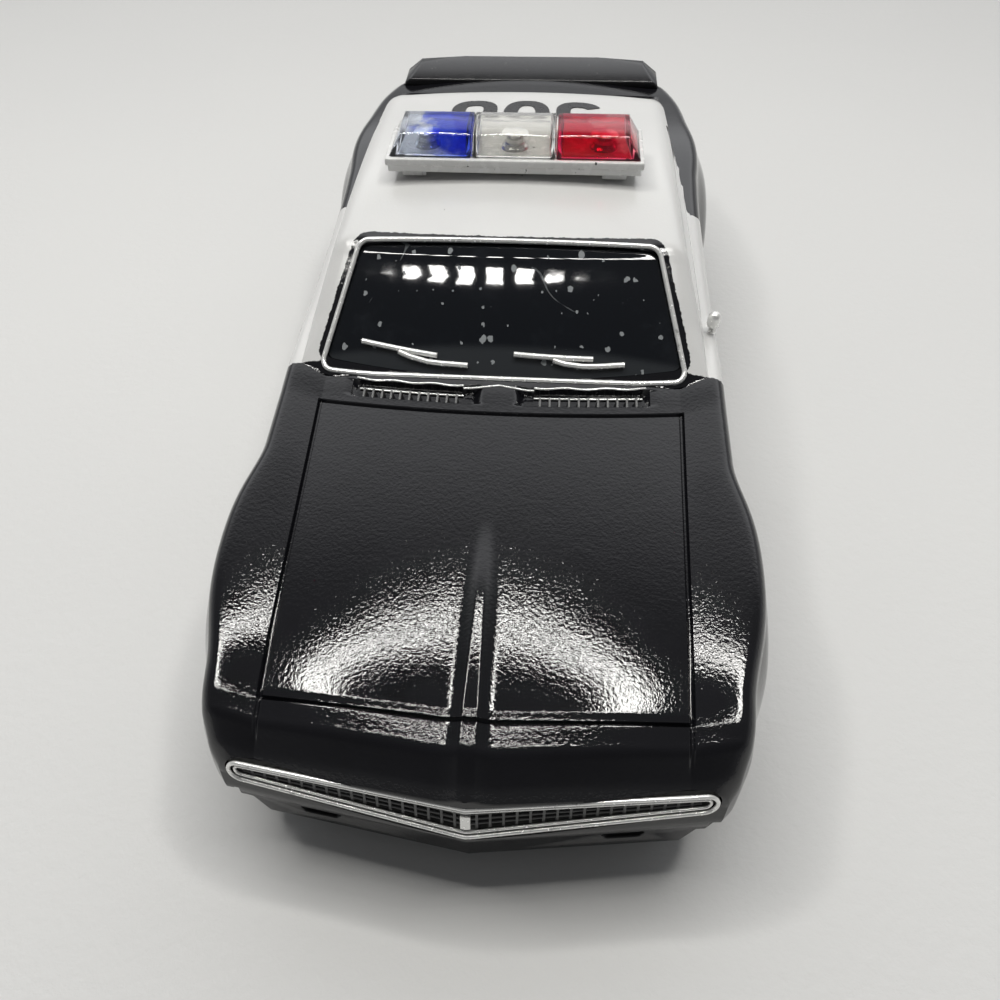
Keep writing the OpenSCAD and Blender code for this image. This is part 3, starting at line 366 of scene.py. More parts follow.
def body_half(t, inset=0.0, foot=SILL_Z, coarse=False):
    zs, cx = crest_z(t) - SHOULDER_H, crest_x(t)
    xe = bonnet_edge(t, cx)
    z = np.linspace(foot, zs, 9 if coarse else 33)[:-1]
    a = np.radians(np.linspace(0, 90, 4 if coarse else 11)[:-1])
    if coarse:
        xw, xb = np.array([cx]), xe * np.linspace(1, 0, 8)
    else:
        xw = np.concatenate([np.linspace(cx, xe + SEAM_MARGIN, 9), xe + GROOVE_STEPS])
        xb = np.concatenate([[xe], xe - GROOVE_STEPS[::-1], np.linspace(xe - SEAM_MARGIN, RIDGE_GRID, 34),
                             np.linspace(RIDGE_GRID - 0.12, 0, 25)])
    xt = np.concatenate([xw, xb])
    zt = top_z(t, xt, cx)
    xs = side_x(t, np.maximum(z, SILL_Z)) - inset
    if not coarse:
        across = np.maximum(groove(t - BONNET_FRONT_Y), groove(t - BONNET_REAR_Y)) * (xt <= xe + 0.1)
        side = groove(xt - xe) * (BONNET_FRONT_Y - 0.1 <= t <= BONNET_REAR_Y + 0.1)
        crease = CREASE_SHARE * groove(xt - xe) * ramp(0.6, 1.4, t) * (t < BONNET_FRONT_Y)
        lip = LIP_DROP * (1 - ramp(0.12, 0.7, t - BONNET_FRONT_Y)) * (t > BONNET_FRONT_Y) * (xt <= xe)
        zt = zt - np.maximum(np.maximum(across, side), crease) - cowl_dip(t, xt) - lip
        xs = xs - np.maximum(groove(t - DOOR_FRONT_Y), groove(t - DOOR_REAR_Y))
    shrink = (xe - inset) / xe
    return np.concatenate([
        np.stack([xs, z], 1),
        np.stack([cx - inset + SHOULDER_W * np.cos(a), zs + (SHOULDER_H - inset) * np.sin(a)], 1),
        np.stack([np.where(xt > xe, xt - inset, xt * shrink), zt - inset], 1)])


def lead_rings(t, half, shares=(0.02, 0.1, 0.25, 0.45, 0.65, 0.85)):
    """The first ring drawn in towards the middle, so that a front follows its V or bow."""
    return [ring(placed(t, half * (share, 1))) for share in shares]


def lower_body():
    """The skin below the windows, with extra stations at the seams, the lip and the intake."""
    t_all = [stations(0, SHELL_LEN, 190), BONNET_FRONT_Y + LIP_STEPS,
             np.arange(INTAKE_FRONT_Y - 0.1, INTAKE_BACK_Y + 0.18, 0.07)]
    for seam in (BONNET_FRONT_Y, BONNET_REAR_Y, DOOR_FRONT_Y, DOOR_REAR_Y):
        t_all.append(seam + np.concatenate([-GROOVE_STEPS, [0], GROOVE_STEPS]))
    t_all = np.sort(np.concatenate(t_all))
    t_all = t_all[np.concatenate([[True], np.diff(t_all) > 0.015])]
    rings = lead_rings(0.0, body_half(0.0))
    rings += [ring(placed(t, body_half(t))) for t in t_all]
    return loft("painted_body", rings)


print("points on half a section", len(body_half(30.0)))

# %% Cabin sections
def cabin_section(t, inset, foot, counts):
    top, crown = cabin_z(t) - inset, crown_fall(t)
    r = max(FIT, min(RAIL_R, (cabin_z(t) - BELT_Z) / 2))
    zs = top - crown - r
    xs, xr = cabin_side(t, zs) - inset, cabin_side(t, top - crown) - inset - r
    z = np.linspace(foot, zs, counts[0] + 1)[:-1]
    a = np.radians(np.linspace(0, 90, counts[1] + 1)[:-1])
    u = np.linspace(1, 0, counts[2] + 1)
    return np.concatenate([
        np.stack([cabin_side(t, z) - inset, z], 1),
        np.stack([mix(xr, xs, np.cos(a)), zs + (r + crown * 0.15) * np.sin(a)], 1),
        np.stack([xr * u, top - crown * 0.85 * u * u], 1)])


def cabin(name, inset, foot, a, b, n, counts):
    lead = lead_rings(a, cabin_section(a, inset, foot, counts))
    rings = [ring(placed(t, cabin_section(t, inset, foot, counts))) for t in stations(a, b, n)]
    return loft(name, lead + rings)


print("cabin %.1f mm wide at the belt" % (2 * cabin_side(PEAK_Y, BELT_Z)))

# %% [markdown]
# ## Openings
# Windows, wheel arches and pockets are holes that the mould's slides leave in the casting.
# They could be left out of the grid cell by cell. Cutting them with plain prisms keeps their
# edges crisp and their sizes those of the solids. A window's outline is drawn in the plane of
# its pane and pushed through the skin.

# %% Outlines and prisms
def fillet(points, r, steps=6):
    """A closed outline with its sharp corners rounded."""
    pts, out = [np.array(p, float) for p in points], []
    for i, p in enumerate(pts):
        a, b = pts[i - 1] - p, pts[(i + 1) % len(pts)] - p
        la, lb = np.linalg.norm(a), np.linalg.norm(b)
        a, b = a / la, b / lb
        angle = math.acos(np.clip(a @ b, -1, 1))
        if angle > math.radians(150):
            out.append(p)
            continue
        d = min(r / math.tan(angle / 2), la * 0.9, lb * 0.9)
        rr = d * math.tan(angle / 2)
        centre = p + (a + b) / np.linalg.norm(a + b) * rr / math.sin(angle / 2)
        p0, p1 = p + a * d - centre, p + b * d - centre
        for k in range(steps + 1):
            v = mix(p0, p1, k / steps)
            out.append(centre + v / np.linalg.norm(v) * rr)
    return np.array(out)


def prism(name, outline, origin, u_axis, v_axis, low, high):
    """An outline in a plane, drawn out along the plane's normal."""
    u, v = np.array(u_axis, float), np.array(v_axis, float)
    n = np.cross(u, v)
    base = np.array(origin) + outline[:, :1] * u + outline[:, 1:] * v
    m = len(base)
    verts = np.concatenate([base + n * low, base + n * high])
    ends = [tuple(range(m)), tuple(range(2 * m - 1, m - 1, -1))]
    return solid(name, verts, ends + skin_faces(2, m))


print("a rounded square has", len(fillet([(0, 0), (1, 0), (1, 1), (0, 1)], 0.2)), "points")

# %% Window cutters
WINDOW_CUT = 2.4
SCREEN_ANGLE = math.atan2(HEADER_Z - COWL_Z, HEADER_Y - SCREEN_Y)
SCREEN_LEN = math.hypot(HEADER_Y - SCREEN_Y, HEADER_Z - COWL_Z)
BACK_ANGLE = math.atan2(ROOF_REAR_Z - DECK_Z, DECK_Y - ROOF_REAR_Y)
BACK_LEN = math.hypot(DECK_Y - ROOF_REAR_Y, ROOF_REAR_Z - DECK_Z)


def screen_outline():
    lift = COWL_BOW * math.cos(SCREEN_ANGLE)
    s = np.linspace(-1, 1, 21)
    low = np.stack([SCREEN_W / 2 * s, lift * s * s], 1)
    high = np.stack([-HEADER_W / 2 * s, SCREEN_LEN + lift / 3 * s * s], 1)
    return fillet(np.concatenate([low, high]), WINDOW_R)


def shrunk(outline, d):
    """An outline moved inwards by d, or outwards if d is negative."""
    along = tangents(outline)
    area = np.sum(outline[:, 0] * np.roll(outline[:, 1], -1) - np.roll(outline[:, 0], -1) * outline[:, 1])
    return outline + np.stack([-along[:, 1], along[:, 0]], 1) * d * np.sign(area)


def window_cutters(shrink=0.0):
    c, s = math.cos(SCREEN_ANGLE), math.sin(SCREEN_ANGLE)
    front = prism("cut_screen", shrunk(screen_outline(), shrink), (0, SCREEN_Y, COWL_Z),
                  (1, 0, 0), (0, c, s), -WINDOW_CUT, WINDOW_CUT)
    high, low = HEADER_W / 2 * 0.98, SCREEN_W / 2 * 0.93
    c, s = math.cos(BACK_ANGLE), math.sin(BACK_ANGLE)
    top, foot = RAIL_R / 2, BACK_LEN - RAIL_R
    outline = fillet([(-high, top), (high, top), (low, foot), (-low, foot)], WINDOW_R)
    back = prism("cut_back", shrunk(outline, shrink), (0, ROOF_REAR_Y, ROOF_REAR_Z),
                 (1, 0, 0), (0, c, -s), -WINDOW_CUT, WINDOW_CUT)
    z0, z1 = BELT_Z + WALL, BELT_Z + WALL + SIDE_WINDOW_H
    rake = SIDE_WINDOW_H / math.tan(SCREEN_ANGLE)
    outline = fillet([(SIDE_FRONT_Y, z0), (SIDE_FRONT_Y + rake, z1), (SIDE_REAR_Y - rake * 0.45, z1),
                      (SIDE_REAR_Y, z0)], WINDOW_R)
    side = prism("cut_side", shrunk(outline, shrink), (0, 0, 0), (0, 1, 0), (0, 0, 1), -HALF_W, HALF_W)
    return [front, back, side]


print("windscreen %.1f mm up a slope of %.0f degrees" % (SCREEN_LEN, math.degrees(SCREEN_ANGLE)))

# %% Arch and nose cutters
ARCH_IN_X, ARCH_OUT_X = 10.9, 20
BUMPER_HALF_W, BUMPER_TOP_Z = 12.3, 6.9


def arch_cutters():
    a = np.radians(np.arange(0, 360, 3.75))
    circle = np.stack([np.cos(a), np.sin(a)], 1) * ARCH_R
    return [prism("cut_arch", circle, (0, y, AXLE_Z), (0, 1, 0), (0, 0, 1), lo, hi)
            for y in (FRONT_AXLE_Y, REAR_AXLE_Y)
            for lo, hi in ((ARCH_IN_X, ARCH_OUT_X), (-ARCH_OUT_X, -ARCH_IN_X))]


def chevron(name, outline, depth, front, lean=0.0):
    """A front-view outline, from its low middle point round, drawn out along the nose's V."""
    x, z = outline[:, 0], outline[:, 1]
    y = np.abs(x) * NOSE_VEE / (GRILLE_W / 2) + np.maximum(0, z - GRILLE_LOW_Z) * math.tan(lean)
    m = len(outline)
    top = int(np.flatnonzero(x == 0)[1])
    verts = np.concatenate([np.stack([x, y + front, z], 1), np.stack([x, y + front + depth, z], 1)])
    halves = [tuple(range(top + 1)), tuple(range(top, m)) + (0,)]
    ends = halves + [tuple(m + i for i in reversed(half)) for half in halves]
    return solid(name, verts, ends + skin_faces(2, m))


def block(name, x0, x1, y0, y1, z0, z1):
    outline = np.array([(x0, y0), (x1, y0), (x1, y1), (x0, y1)])
    return prism(name, outline, (0, 0, 0), (1, 0, 0), (0, 1, 0), z0, z1)


def grille_outline(grow=0.0):
    """Front view of the grille: tall in the middle, slimmer at its raised round ends."""
    r, mid = GRILLE_TIP_H / 2, GRILLE_LOW_Z + GRILLE_MID_H / 2
    a = np.radians(np.linspace(-84, 84, 15))
    right = np.stack([GRILLE_W / 2 - r + (r + grow) * np.cos(a),
                      mid + GRILLE_TIP_LIFT + (r + grow) * np.sin(a)], 1)
    low = [(0.5, GRILLE_LOW_Z - grow), (0, GRILLE_LOW_Z - grow)]
    high = [(0.5, GRILLE_LOW_Z + GRILLE_MID_H + grow), (0, GRILLE_LOW_Z + GRILLE_MID_H + grow)]
    half = np.concatenate([[low[1], low[0]], right, [high[0]]])
    return np.concatenate([half, [high[1]], half[:0:-1] * (-1, 1)])


def bumper_outline(grow, drop):
    """Front view of the bumper's pocket, open towards the corners of the nose."""
    w, top = BUMPER_HALF_W + grow, BUMPER_TOP_Z + grow
    low, out = SILL_Z - drop, HALF_W + 0.2
    half = [(0, low), (out, low), (out, BUMPER_TOP_Z - 0.4), (w, BUMPER_TOP_Z), (w, top)]
    return np.array(half + [(0, top)] + [(-x, z) for x, z in half[:0:-1]])


print("outline of the grille", len(grille_outline()), "points")

# %% Cut the casting
HOLLOW_REAR_Y, PAST_TAIL_Y, UNDERCUT = 70.0, 74, 0.5
TAIL_LAMP_X, TAIL_LAMP_HALF_W, TAIL_LAMP_Y, TAIL_LAMP_Z = 7.6, 3.4, 72.2, (9.55, 11.65)
REAR_BUMPER_HALF_W, REAR_BUMPER_Y, REAR_BUMPER_Z = 12.8, 71.9, (6.1, 8.2)
SPOILER_HALF_W, SPOILER_Y, SPOILER_TOP_Z = 12.3, 70.1, 17


def hollow_half(t):
    return body_half(t, WALL, SILL_Z - UNDERCUT, True)


body = lower_body()
upper = cabin("cabin", 0, BELT_Z - 2 * WALL, SCREEN_Y - WALL, DECK_Y + WALL, 110, (20, 10, 30))
boolean(body, "UNION", [upper])
rings = lead_rings(2 * WALL, hollow_half(2 * WALL))
rings += [ring(placed(t, hollow_half(t))) for t in stations(2 * WALL, HOLLOW_REAR_Y, 40)]
hollow = [loft("hollow", rings),
          cabin("cavity", WALL, BELT_Z - 4 * WALL, SCREEN_Y, DECK_Y - WALL / 2, 60, (6, 6, 10))]
pockets = [chevron("cut_grille", grille_outline(FIT), depth=1.6, front=-0.5, lean=NOSE_LEAN),
           chevron("cut_bumper", bumper_outline(FIT, UNDERCUT), depth=1.7, front=-0.5)]
for x in (-TAIL_LAMP_X, TAIL_LAMP_X):
    pockets.append(block("cut_lamp", x - TAIL_LAMP_HALF_W, x + TAIL_LAMP_HALF_W,
                         TAIL_LAMP_Y, PAST_TAIL_Y, *TAIL_LAMP_Z))
pockets.append(block("cut_rear_bumper", -REAR_BUMPER_HALF_W, REAR_BUMPER_HALF_W,
                     REAR_BUMPER_Y, PAST_TAIL_Y, *REAR_BUMPER_Z))
spoiler_foot = float(spine_z(SPOILER_Y + FIT)) - 1.0
pockets.append(block("cut_spoiler", -SPOILER_HALF_W, SPOILER_HALF_W,
                     SPOILER_Y, PAST_TAIL_Y, spoiler_foot, SPOILER_TOP_Z))
boolean(body, "DIFFERENCE", hollow + window_cutters() + arch_cutters() + pockets)
print("casting", len(body.data.polygons), "faces")

# %% [markdown]
# ## Where the paint changes
# The real body is cast metal, painted black and masked for white doors and roof. Here each
# point of the skin stores its distance from the edge of the white, in millimetres, and the
# paint reads it. A little noise on that distance gives the slightly ragged edge of a mask.

# %% Distance to the white paint
WHITE_FRONT_Y, WHITE_LOW_Z, CABIN_LOW_Z, NEAR = 27.75, 13.4, 14.0, 0.12
FRAME_BORDER, FRAME_REACH_Y, FAR = 0.48, 40, 9.0
CORNER_X, CORNER_Y, CORNER_R, CORNER_SHARE = 7.2, 52.4, 5, 0.75


def polygon_distance(p, outline):
    """Distance from each point to an outline, negative inside."""
    a, b = outline, np.roll(outline, -1, 0)
    best, inside = np.full(len(p), 1e9), np.zeros(len(p), bool)
    for i in range(len(a)):
        e, w = b[i] - a[i], p - a[i]
        k = np.clip(w @ e / (e @ e), 0, 1)
        best = np.minimum(best, np.linalg.norm(w - k[:, None] * e, axis=1))
        hit = (a[i, 1] > p[:, 1]) != (b[i, 1] > p[:, 1])
        cross = a[i, 0] + (p[:, 1] - a[i, 1]) / (e[1] if e[1] else 1e-9) * e[0]
        inside ^= hit & (p[:, 0] < cross)
    return np.where(inside, -best, best)


def station_of(y, x):
    t = y.copy()
    for _ in range(25):
        t = y - bend(t, x)
    return t


def mark_white(obj):
    """Store each point's distance to the edge of the white, positive where it is white."""
    co = np.empty(len(obj.data.vertices) * 3)
    obj.data.vertices.foreach_get("co", co)
    p = co.reshape(-1, 3) / MM
    x, y, z = np.abs(p[:, 0]), p[:, 1] + HALF_LEN, p[:, 2]
    t = station_of(y, x)
    c, s = math.cos(SCREEN_ANGLE), math.sin(SCREEN_ANGLE)
    on_slope = np.stack([p[:, 0], (y - SCREEN_Y) * c + (z - COWL_Z) * s], 1)
    to_frame = polygon_distance(on_slope, screen_outline()) - FRAME_BORDER
    border = np.where(y < FRAME_REACH_Y, to_frame, FAR)
    corner = np.stack([(x - CORNER_X) * CORNER_SHARE, y - CORNER_Y], 1)
    rear = CORNER_R - np.linalg.norm(np.maximum(corner, 0), axis=1)
    roof = np.minimum(np.minimum(border, rear), y - WHITE_FRONT_Y)
    door = np.minimum(t - DOOR_FRONT_Y, DOOR_REAR_Y - t)
    upper_door = np.minimum(y - WHITE_FRONT_Y, DOOR_REAR_Y - t)
    door = np.where(z > WHITE_LOW_Z, np.maximum(door, upper_door), door)
    on_cabin = (x <= cabin_side(t, z) + NEAR) & (z > CABIN_LOW_Z) & (t > SCREEN_Y - 1) & (t < DECK_Y + 1)
    white = np.where(on_cabin, roof, door)
    attribute = obj.data.attributes.new("white_mm", "FLOAT", "POINT")
    attribute.data.foreach_set("value", white.astype(np.float32))
    print("white points", int((white > 0).sum()), "of", len(white))


mark_white(body)

# %% [markdown]
# ## Finishes
# Every finish is made of noise on the object's own coordinates, so it holds at any pose and
# from any side. Pictures of paint would blur up close and show their seams. A small helper
# adds shader nodes and joins them by name.

# %% Shader helper
class Nodes:
    """Adds shader nodes to a tree and joins them by name."""
    def __init__(self, tree):
        self.tree = tree

    def add(self, kind, props=None, **inputs):
        node = self.tree.nodes.new(kind)
        for key, value in (props or {}).items():
            setattr(node, key, value)
        for key, value in inputs.items():
            self.put(node.inputs[key], value)
        return node

    def put(self, socket, value):
        if isinstance(value, bpy.types.NodeSocket):
            self.tree.links.new(value, socket)
        else:
            socket.default_value = value

    def step(self, value, low, high, start=0.0, end=1.0):
        node = self.add("ShaderNodeMapRange", {"interpolation_type": "SMOOTHSTEP"})
        for i, v in enumerate((value, low, high, start, end)):
            self.put(node.inputs[i], v)
        return node.outputs[0]

    def math(self, op, a, b):
        node = self.add("ShaderNodeMath", {"operation": op})
        self.put(node.inputs[0], a)
        self.put(node.inputs[1], b)
        return node.outputs[0]


class Finish(Nodes):
    """A material whose noise lies on the object's own coordinates."""
    def __init__(self, name):
        self.mat = bpy.data.materials.new(name)
        self.mat.use_nodes = True
        super().__init__(self.mat.node_tree)
        self.bsdf = self.tree.nodes["Principled BSDF"]
        self.coord = self.add("ShaderNodeTexCoord").outputs["Object"]

    def noise(self, per_mm, detail=2.0, rough=0.5):
        return self.add("ShaderNodeTexNoise", Vector=self.coord, Scale=per_mm * 1000, Detail=detail,
                        Roughness=rough).outputs[0]

    def mix(self, share, a, b):
        node = self.add("ShaderNodeMix", {"data_type": "RGBA"})
        for i, v in ((0, share), (6, a), (7, b)):
            self.put(node.inputs[i], (*v, 1.0) if isinstance(v, tuple) and len(v) == 3 else v)
        return node.outputs[2]

    def bump(self, height, depth_mm):
        return self.add("ShaderNodeBump", Height=height, Distance=depth_mm * MM, Strength=1.0).outputs[0]

    def set(self, **inputs):
        for key, value in inputs.items():
            self.put(self.bsdf.inputs[key.replace("_", " ")], value)
        return self.mat


# %% [markdown]
# ## Enamel
# The real paint is sprayed: a glossy black with the fine dimples called orange peel, and a
# duller white over a mask. Two materials on separate faces would do, but their edge would
# follow the mesh. One finish that reads the stored distance draws its own edge, with a few
# dark chips in the white.

# %% Two-colour enamel
RAGGED_MM, PEEL_PER_MM, PEEL_DEPTH_MM = 0.34, 5.0, 0.0095


def enamel():
    f = Finish("body_paint")
    edge = f.add("ShaderNodeAttribute", {"attribute_name": "white_mm"}).outputs["Fac"]
    ragged = f.math("MULTIPLY_ADD", f.noise(2.2, 4, 0.7), RAGGED_MM)
    ragged.node.inputs[2].default_value = -RAGGED_MM / 2
    white = f.step(f.math("ADD", edge, ragged), -0.02, 0.02)
    chips = f.step(f.noise(1.3, 5, 0.62), 0.735, 0.75)
    white = f.math("MULTIPLY", white, f.math("SUBTRACT", 1.0, chips))
    black = f.mix(f.noise(0.4, 3), (0.0035, 0.0035, 0.0045), (0.007, 0.007, 0.009))
    pale = f.mix(f.noise(0.25, 3), (0.58, 0.58, 0.572), (0.63, 0.63, 0.62))
    peel = f.bump(f.noise(PEEL_PER_MM, 2, 0.6), PEEL_DEPTH_MM)
    grain = f.add("ShaderNodeBump", Height=f.noise(0.6, 2), Distance=0.006 * MM, Normal=peel).outputs[0]
    return f.set(Base_Color=f.mix(white, black, pale), Roughness=f.step(white, 0, 1, 0.06, 0.24),
                 Normal=grain)


# %% [markdown]
# ## Metals and plastics
# The trim is silver ink or plating, worn thin in places, and the mouldings are coloured
# plastic with a faint grain. Each could be one colour from a list. Here two close tones are
# mixed by noise, the gloss wanders and a shallow bump breaks the highlights, as on a toy that
# was played with.

# %% Metals and plastics
def metal(name, color, rough, dark=0.25, per_mm=1.5, metallic=1.0):
    f = Finish(name)
    worn = f.step(f.noise(per_mm, 4, 0.65), 0.6, 0.72)
    tint = f.mix(worn, color, tuple(c * dark for c in color))
    gloss = f.step(f.noise(per_mm * 3, 3), 0.2, 0.8, rough * 0.7, rough * 1.5)
    return f.set(Base_Color=tint, Metallic=metallic, Roughness=gloss,
                 Normal=f.bump(f.noise(per_mm * 4, 2), 0.006))


def plastic(name, color, other, rough, per_mm=1.0, depth_mm=0.006, speck=None):
    f = Finish(name)
    tint = f.mix(f.noise(per_mm, 4), color, other)
    if speck:
        tint = f.mix(f.step(f.noise(per_mm * 1.9, 5, 0.65), 0.665, 0.68), tint, speck)
    gloss = f.step(f.noise(per_mm * 2, 3), 0.2, 0.8, rough * 0.8, rough * 1.25)
    return f.set(Base_Color=tint, Roughness=gloss, Normal=f.bump(f.noise(per_mm * 5, 2), depth_mm))


# %% [markdown]
# ## Smoked glass
# The windows are nearly black clear plastic that collects dust and hair scratches. Dust could
# be tiny meshes. The cells of a Voronoi pattern cost nothing and give grains of many sizes.
# Only the sloping panes carry it. The foot of the windscreen is painted a lighter grey as a painted
# reflection.

# %% Smoked glass with dust
DUST_PER_MM, DUST_MAX, DUST_WOBBLE_MM, HAIR_W = 1.0, 0.21, 0.3, 0.002
DUSTY_HALF_W, FOOT_REFLECTION_Y = 10.5, (-8.9, -8.3)


def smoked_glass():
    f = Finish("smoked_window")
    xyz = f.add("ShaderNodeSeparateXYZ", Vector=f.coord).outputs
    flat = f.add("ShaderNodeCombineXYZ", X=xyz[0], Y=xyz[1]).outputs[0]
    wobble = f.add("ShaderNodeTexNoise", Vector=f.coord, Scale=3 / MM, Detail=2.0).outputs["Color"]
    ragged = f.add("ShaderNodeVectorMath", {"operation": "MULTIPLY_ADD"})
    for i, v in enumerate((wobble, (DUST_WOBBLE_MM * MM, DUST_WOBBLE_MM * MM, 0), flat)):
        f.put(ragged.inputs[i], v)
    dots = f.add("ShaderNodeTexVoronoi", {"voronoi_dimensions": "2D"}, Vector=ragged.outputs[0],
                 Scale=DUST_PER_MM / MM, Randomness=1.0)
    size = f.math("MULTIPLY", f.step(dots.outputs["Color"], 0.5, 0.95), DUST_MAX)
    dust = f.math("LESS_THAN", dots.outputs["Distance"], size)
    line = f.math("ABSOLUTE", f.math("SUBTRACT", f.noise(0.12, 1), 0.5), 0.0)
    hair = f.math("MULTIPLY", f.math("LESS_THAN", line, HAIR_W), f.step(f.noise(0.3), 0.55, 0.62))
    marks = f.math("MAXIMUM", f.math("MULTIPLY", dust, 0.65), f.math("MULTIPLY", hair, 0.3))
    sloping = f.step(f.math("ABSOLUTE", xyz[0], 0.0), DUSTY_HALF_W * MM, (DUSTY_HALF_W + 0.3) * MM, 1.0, 0.0)
    marks = f.math("MULTIPLY", marks, sloping)
    # Painted reflection: the glass colour turns lighter grey towards the foot of the windscreen.
    foot = f.step(xyz[1], FOOT_REFLECTION_Y[0] * MM, FOOT_REFLECTION_Y[1] * MM, 0.8, 0.0)
    haze = f.step(f.noise(0.35, 5, 0.7), 0.52, 0.8, 0.0, 0.5)
    base = f.mix(haze, (0.003, 0.004, 0.006), (0.016, 0.019, 0.023))
    base = f.mix(foot, base, (0.026, 0.029, 0.032))
    tint = f.mix(marks, base, (0.27, 0.29, 0.30))
    return f.set(Base_Color=tint, Roughness=f.step(dust, 0, 1, 0.03, 0.6),
                 Normal=f.bump(f.noise(0.8, 2), 0.0015))


# %% [markdown]
# ## Lens plastic
# The lenses are clear plastic tinted in the mass, and the tint thins towards one end. A
# coloured block would look solid. Real transmission with a low roughness lets the bright
# drums and the roof show through.

# %% Lens plastic
LENS_MID_Z = 22.9


def lens_finish(name, color, pale, x_mm, side, fall=0.0):
    """Clear tinted plastic. The colour thins where x passes x_mm towards side, earlier below by fall."""
    f = Finish(name)
    xyz = f.add("ShaderNodeSeparateXYZ", Vector=f.coord).outputs
    low = f.math("MULTIPLY", f.math("SUBTRACT", LENS_MID_Z * MM, xyz[2]), fall * 1000.0)
    out = f.math("ADD", f.math("MULTIPLY", xyz[0], side * 1000.0), low)
    worn = f.step(f.math("ADD", out, f.step(f.noise(0.7, 3), 0.3, 0.7, -0.9, 0.9)), x_mm - 0.5, x_mm + 0.5)
    tint = f.mix(worn, color, pale)
    return f.set(Base_Color=tint, Roughness=f.step(f.noise(1.4, 3), 0.3, 0.7, 0.02, 0.09), IOR=1.46,
                 Transmission_Weight=0.95, Normal=f.bump(f.noise(1.2, 2), 0.01))


# %% All finishes
PAINT, GLASS = enamel(), smoked_glass()
SILVER = metal("bright_trim", (0.88, 0.88, 0.86), 0.2, 0.55, 1.5, 0.6)
PLATED = metal("plated_rim", (0.83, 0.83, 0.83), 0.14, 0.6)
STEEL = metal("axle_steel", (0.62, 0.61, 0.60), 0.3, 0.5)
RIVET = metal("rivet_steel", (0.55, 0.55, 0.55), 0.34, 0.5)
BLACK = plastic("black_plastic", (0.006, 0.006, 0.007), (0.012, 0.012, 0.013), 0.22, speck=(0.05, 0.05, 0.05))
BASE = plastic("base_plastic", (0.016, 0.016, 0.017), (0.028, 0.028, 0.029), 0.5, 1.4, 0.02)
INNER = plastic("interior_plastic", (0.02, 0.02, 0.023), (0.032, 0.031, 0.034), 0.55, 1.0, 0.015)
RUBBER = plastic("tyre_rubber", (0.011, 0.011, 0.011), (0.022, 0.022, 0.021), 0.62, 1.6, 0.012)
WHITE = plastic("white_plastic", (0.63, 0.63, 0.62), (0.69, 0.69, 0.68), 0.25, 0.8, 0.006, (0.05, 0.05, 0.05))
TAIL = plastic("tail_red", (0.28, 0.01, 0.012), (0.36, 0.02, 0.02), 0.18)
INK = plastic("number_ink", (0.005, 0.005, 0.006), (0.012, 0.012, 0.013), 0.3)
DARK = plastic("grille_floor", (0.008, 0.008, 0.008), (0.02, 0.02, 0.02), 0.5)
GRID = plastic("grille_grid", (0.05, 0.05, 0.05), (0.11, 0.11, 0.11), 0.4)
RIB = metal("worn_rib", (0.11, 0.11, 0.11), 0.4, 0.15, 2.2, 0.3)
BLUE = lens_finish("blue_lens", (0.05, 0.10, 0.74), (0.82, 0.86, 0.93), 5.3, -1.0, 1.6)
CLEAR = lens_finish("clear_lens", (0.95, 0.94, 0.90), (0.97, 0.96, 0.93), 6.2, 1.0)
RED = lens_finish("red_lens", (0.78, 0.02, 0.09), (0.90, 0.26, 0.30), 6.6, 1.0, -1.6)


def dress(obj, mat, body_name="car", node=None):
    obj.data.materials.clear()
    obj.data.materials.append(mat)
    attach(obj, body_name)
    if node:
        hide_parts(node)
    return obj


dress(body, PAINT, "car", "body_shell")
print("finishes", len(bpy.data.materials))

# %% [markdown]
# ## Pieces taken over from the solids
# Moulded and plated pieces leave their tools with soft edges that catch the light. They could
# be modelled again, but their solids already have the right form. So a copy is welded, its
# flat faces are joined, and every sharp edge gets a small round.

# %% Soft-edged copies
def soft_copy(node, name, mat, width_mm=0.06, body_name="car", segments=2):
    bm = bmesh.new()
    bm.from_mesh(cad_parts[node].data)
    bmesh.ops.remove_doubles(bm, verts=bm.verts, dist=1e-6)
    bmesh.ops.dissolve_limit(bm, angle_limit=math.radians(0.5), verts=bm.verts, edges=bm.edges)
    mesh = bpy.data.meshes.new(name)
    bm.to_mesh(mesh)
    bm.free()
    obj = bpy.data.objects.new(name, mesh)
    scene.collection.objects.link(obj)
    if width_mm:
        mod = obj.modifiers.new("round", "BEVEL")
        mod.width, mod.segments, mod.limit_method = width_mm * MM, segments, "ANGLE"
        mod.angle_limit, mod.use_clamp_overlap = math.radians(32), True
    baked(obj, 40)
    print(name, len(obj.data.polygons), "faces")
    return dress(obj, mat, body_name, node)


soft_copy("front_bumper", "front_valance", BLACK, 0.1)
soft_copy("rear_bumper", "rear_bumper_bar", BLACK, 0.25, segments=3)
soft_copy("tail_lamps", "tail_lamp_lenses", TAIL, 0.12)
soft_copy("rear_spoiler", "tail_spoiler", BLACK, 0.16, segments=3)
soft_copy("driver_mirror", "door_mirror", SILVER, 0)
soft_copy("lightbar_base", "light_bar_base", WHITE, 0.09)
soft_copy("lens_blue", "blue_lens_cover", BLUE, 0.1)
soft_copy("lens_clear", "clear_lens_cover", CLEAR, 0.1)
soft_copy("lens_red", "red_lens_cover", RED, 0.1)
soft_copy("beacon_drums", "reflector_drums", PLATED, 0.05)
soft_copy("chassis_plate", "base_plate", BASE, 0.1)
soft_copy("interior_tub", "cabin_tub", INNER, 0.1)
soft_copy("base_rivets", "rivet_heads", RIVET, 0.08)
for end in ("front", "rear"):
    soft_copy(end + "_axle", end + "_axle_rod", STEEL, 0.08, end + "_wheelset")
    for side in ("left", "right"):
        soft_copy("rim_%s_%s" % (end, side), "wheel_%s_%s" % (end, side), PLATED, 0.05,
                  end + "_wheelset")

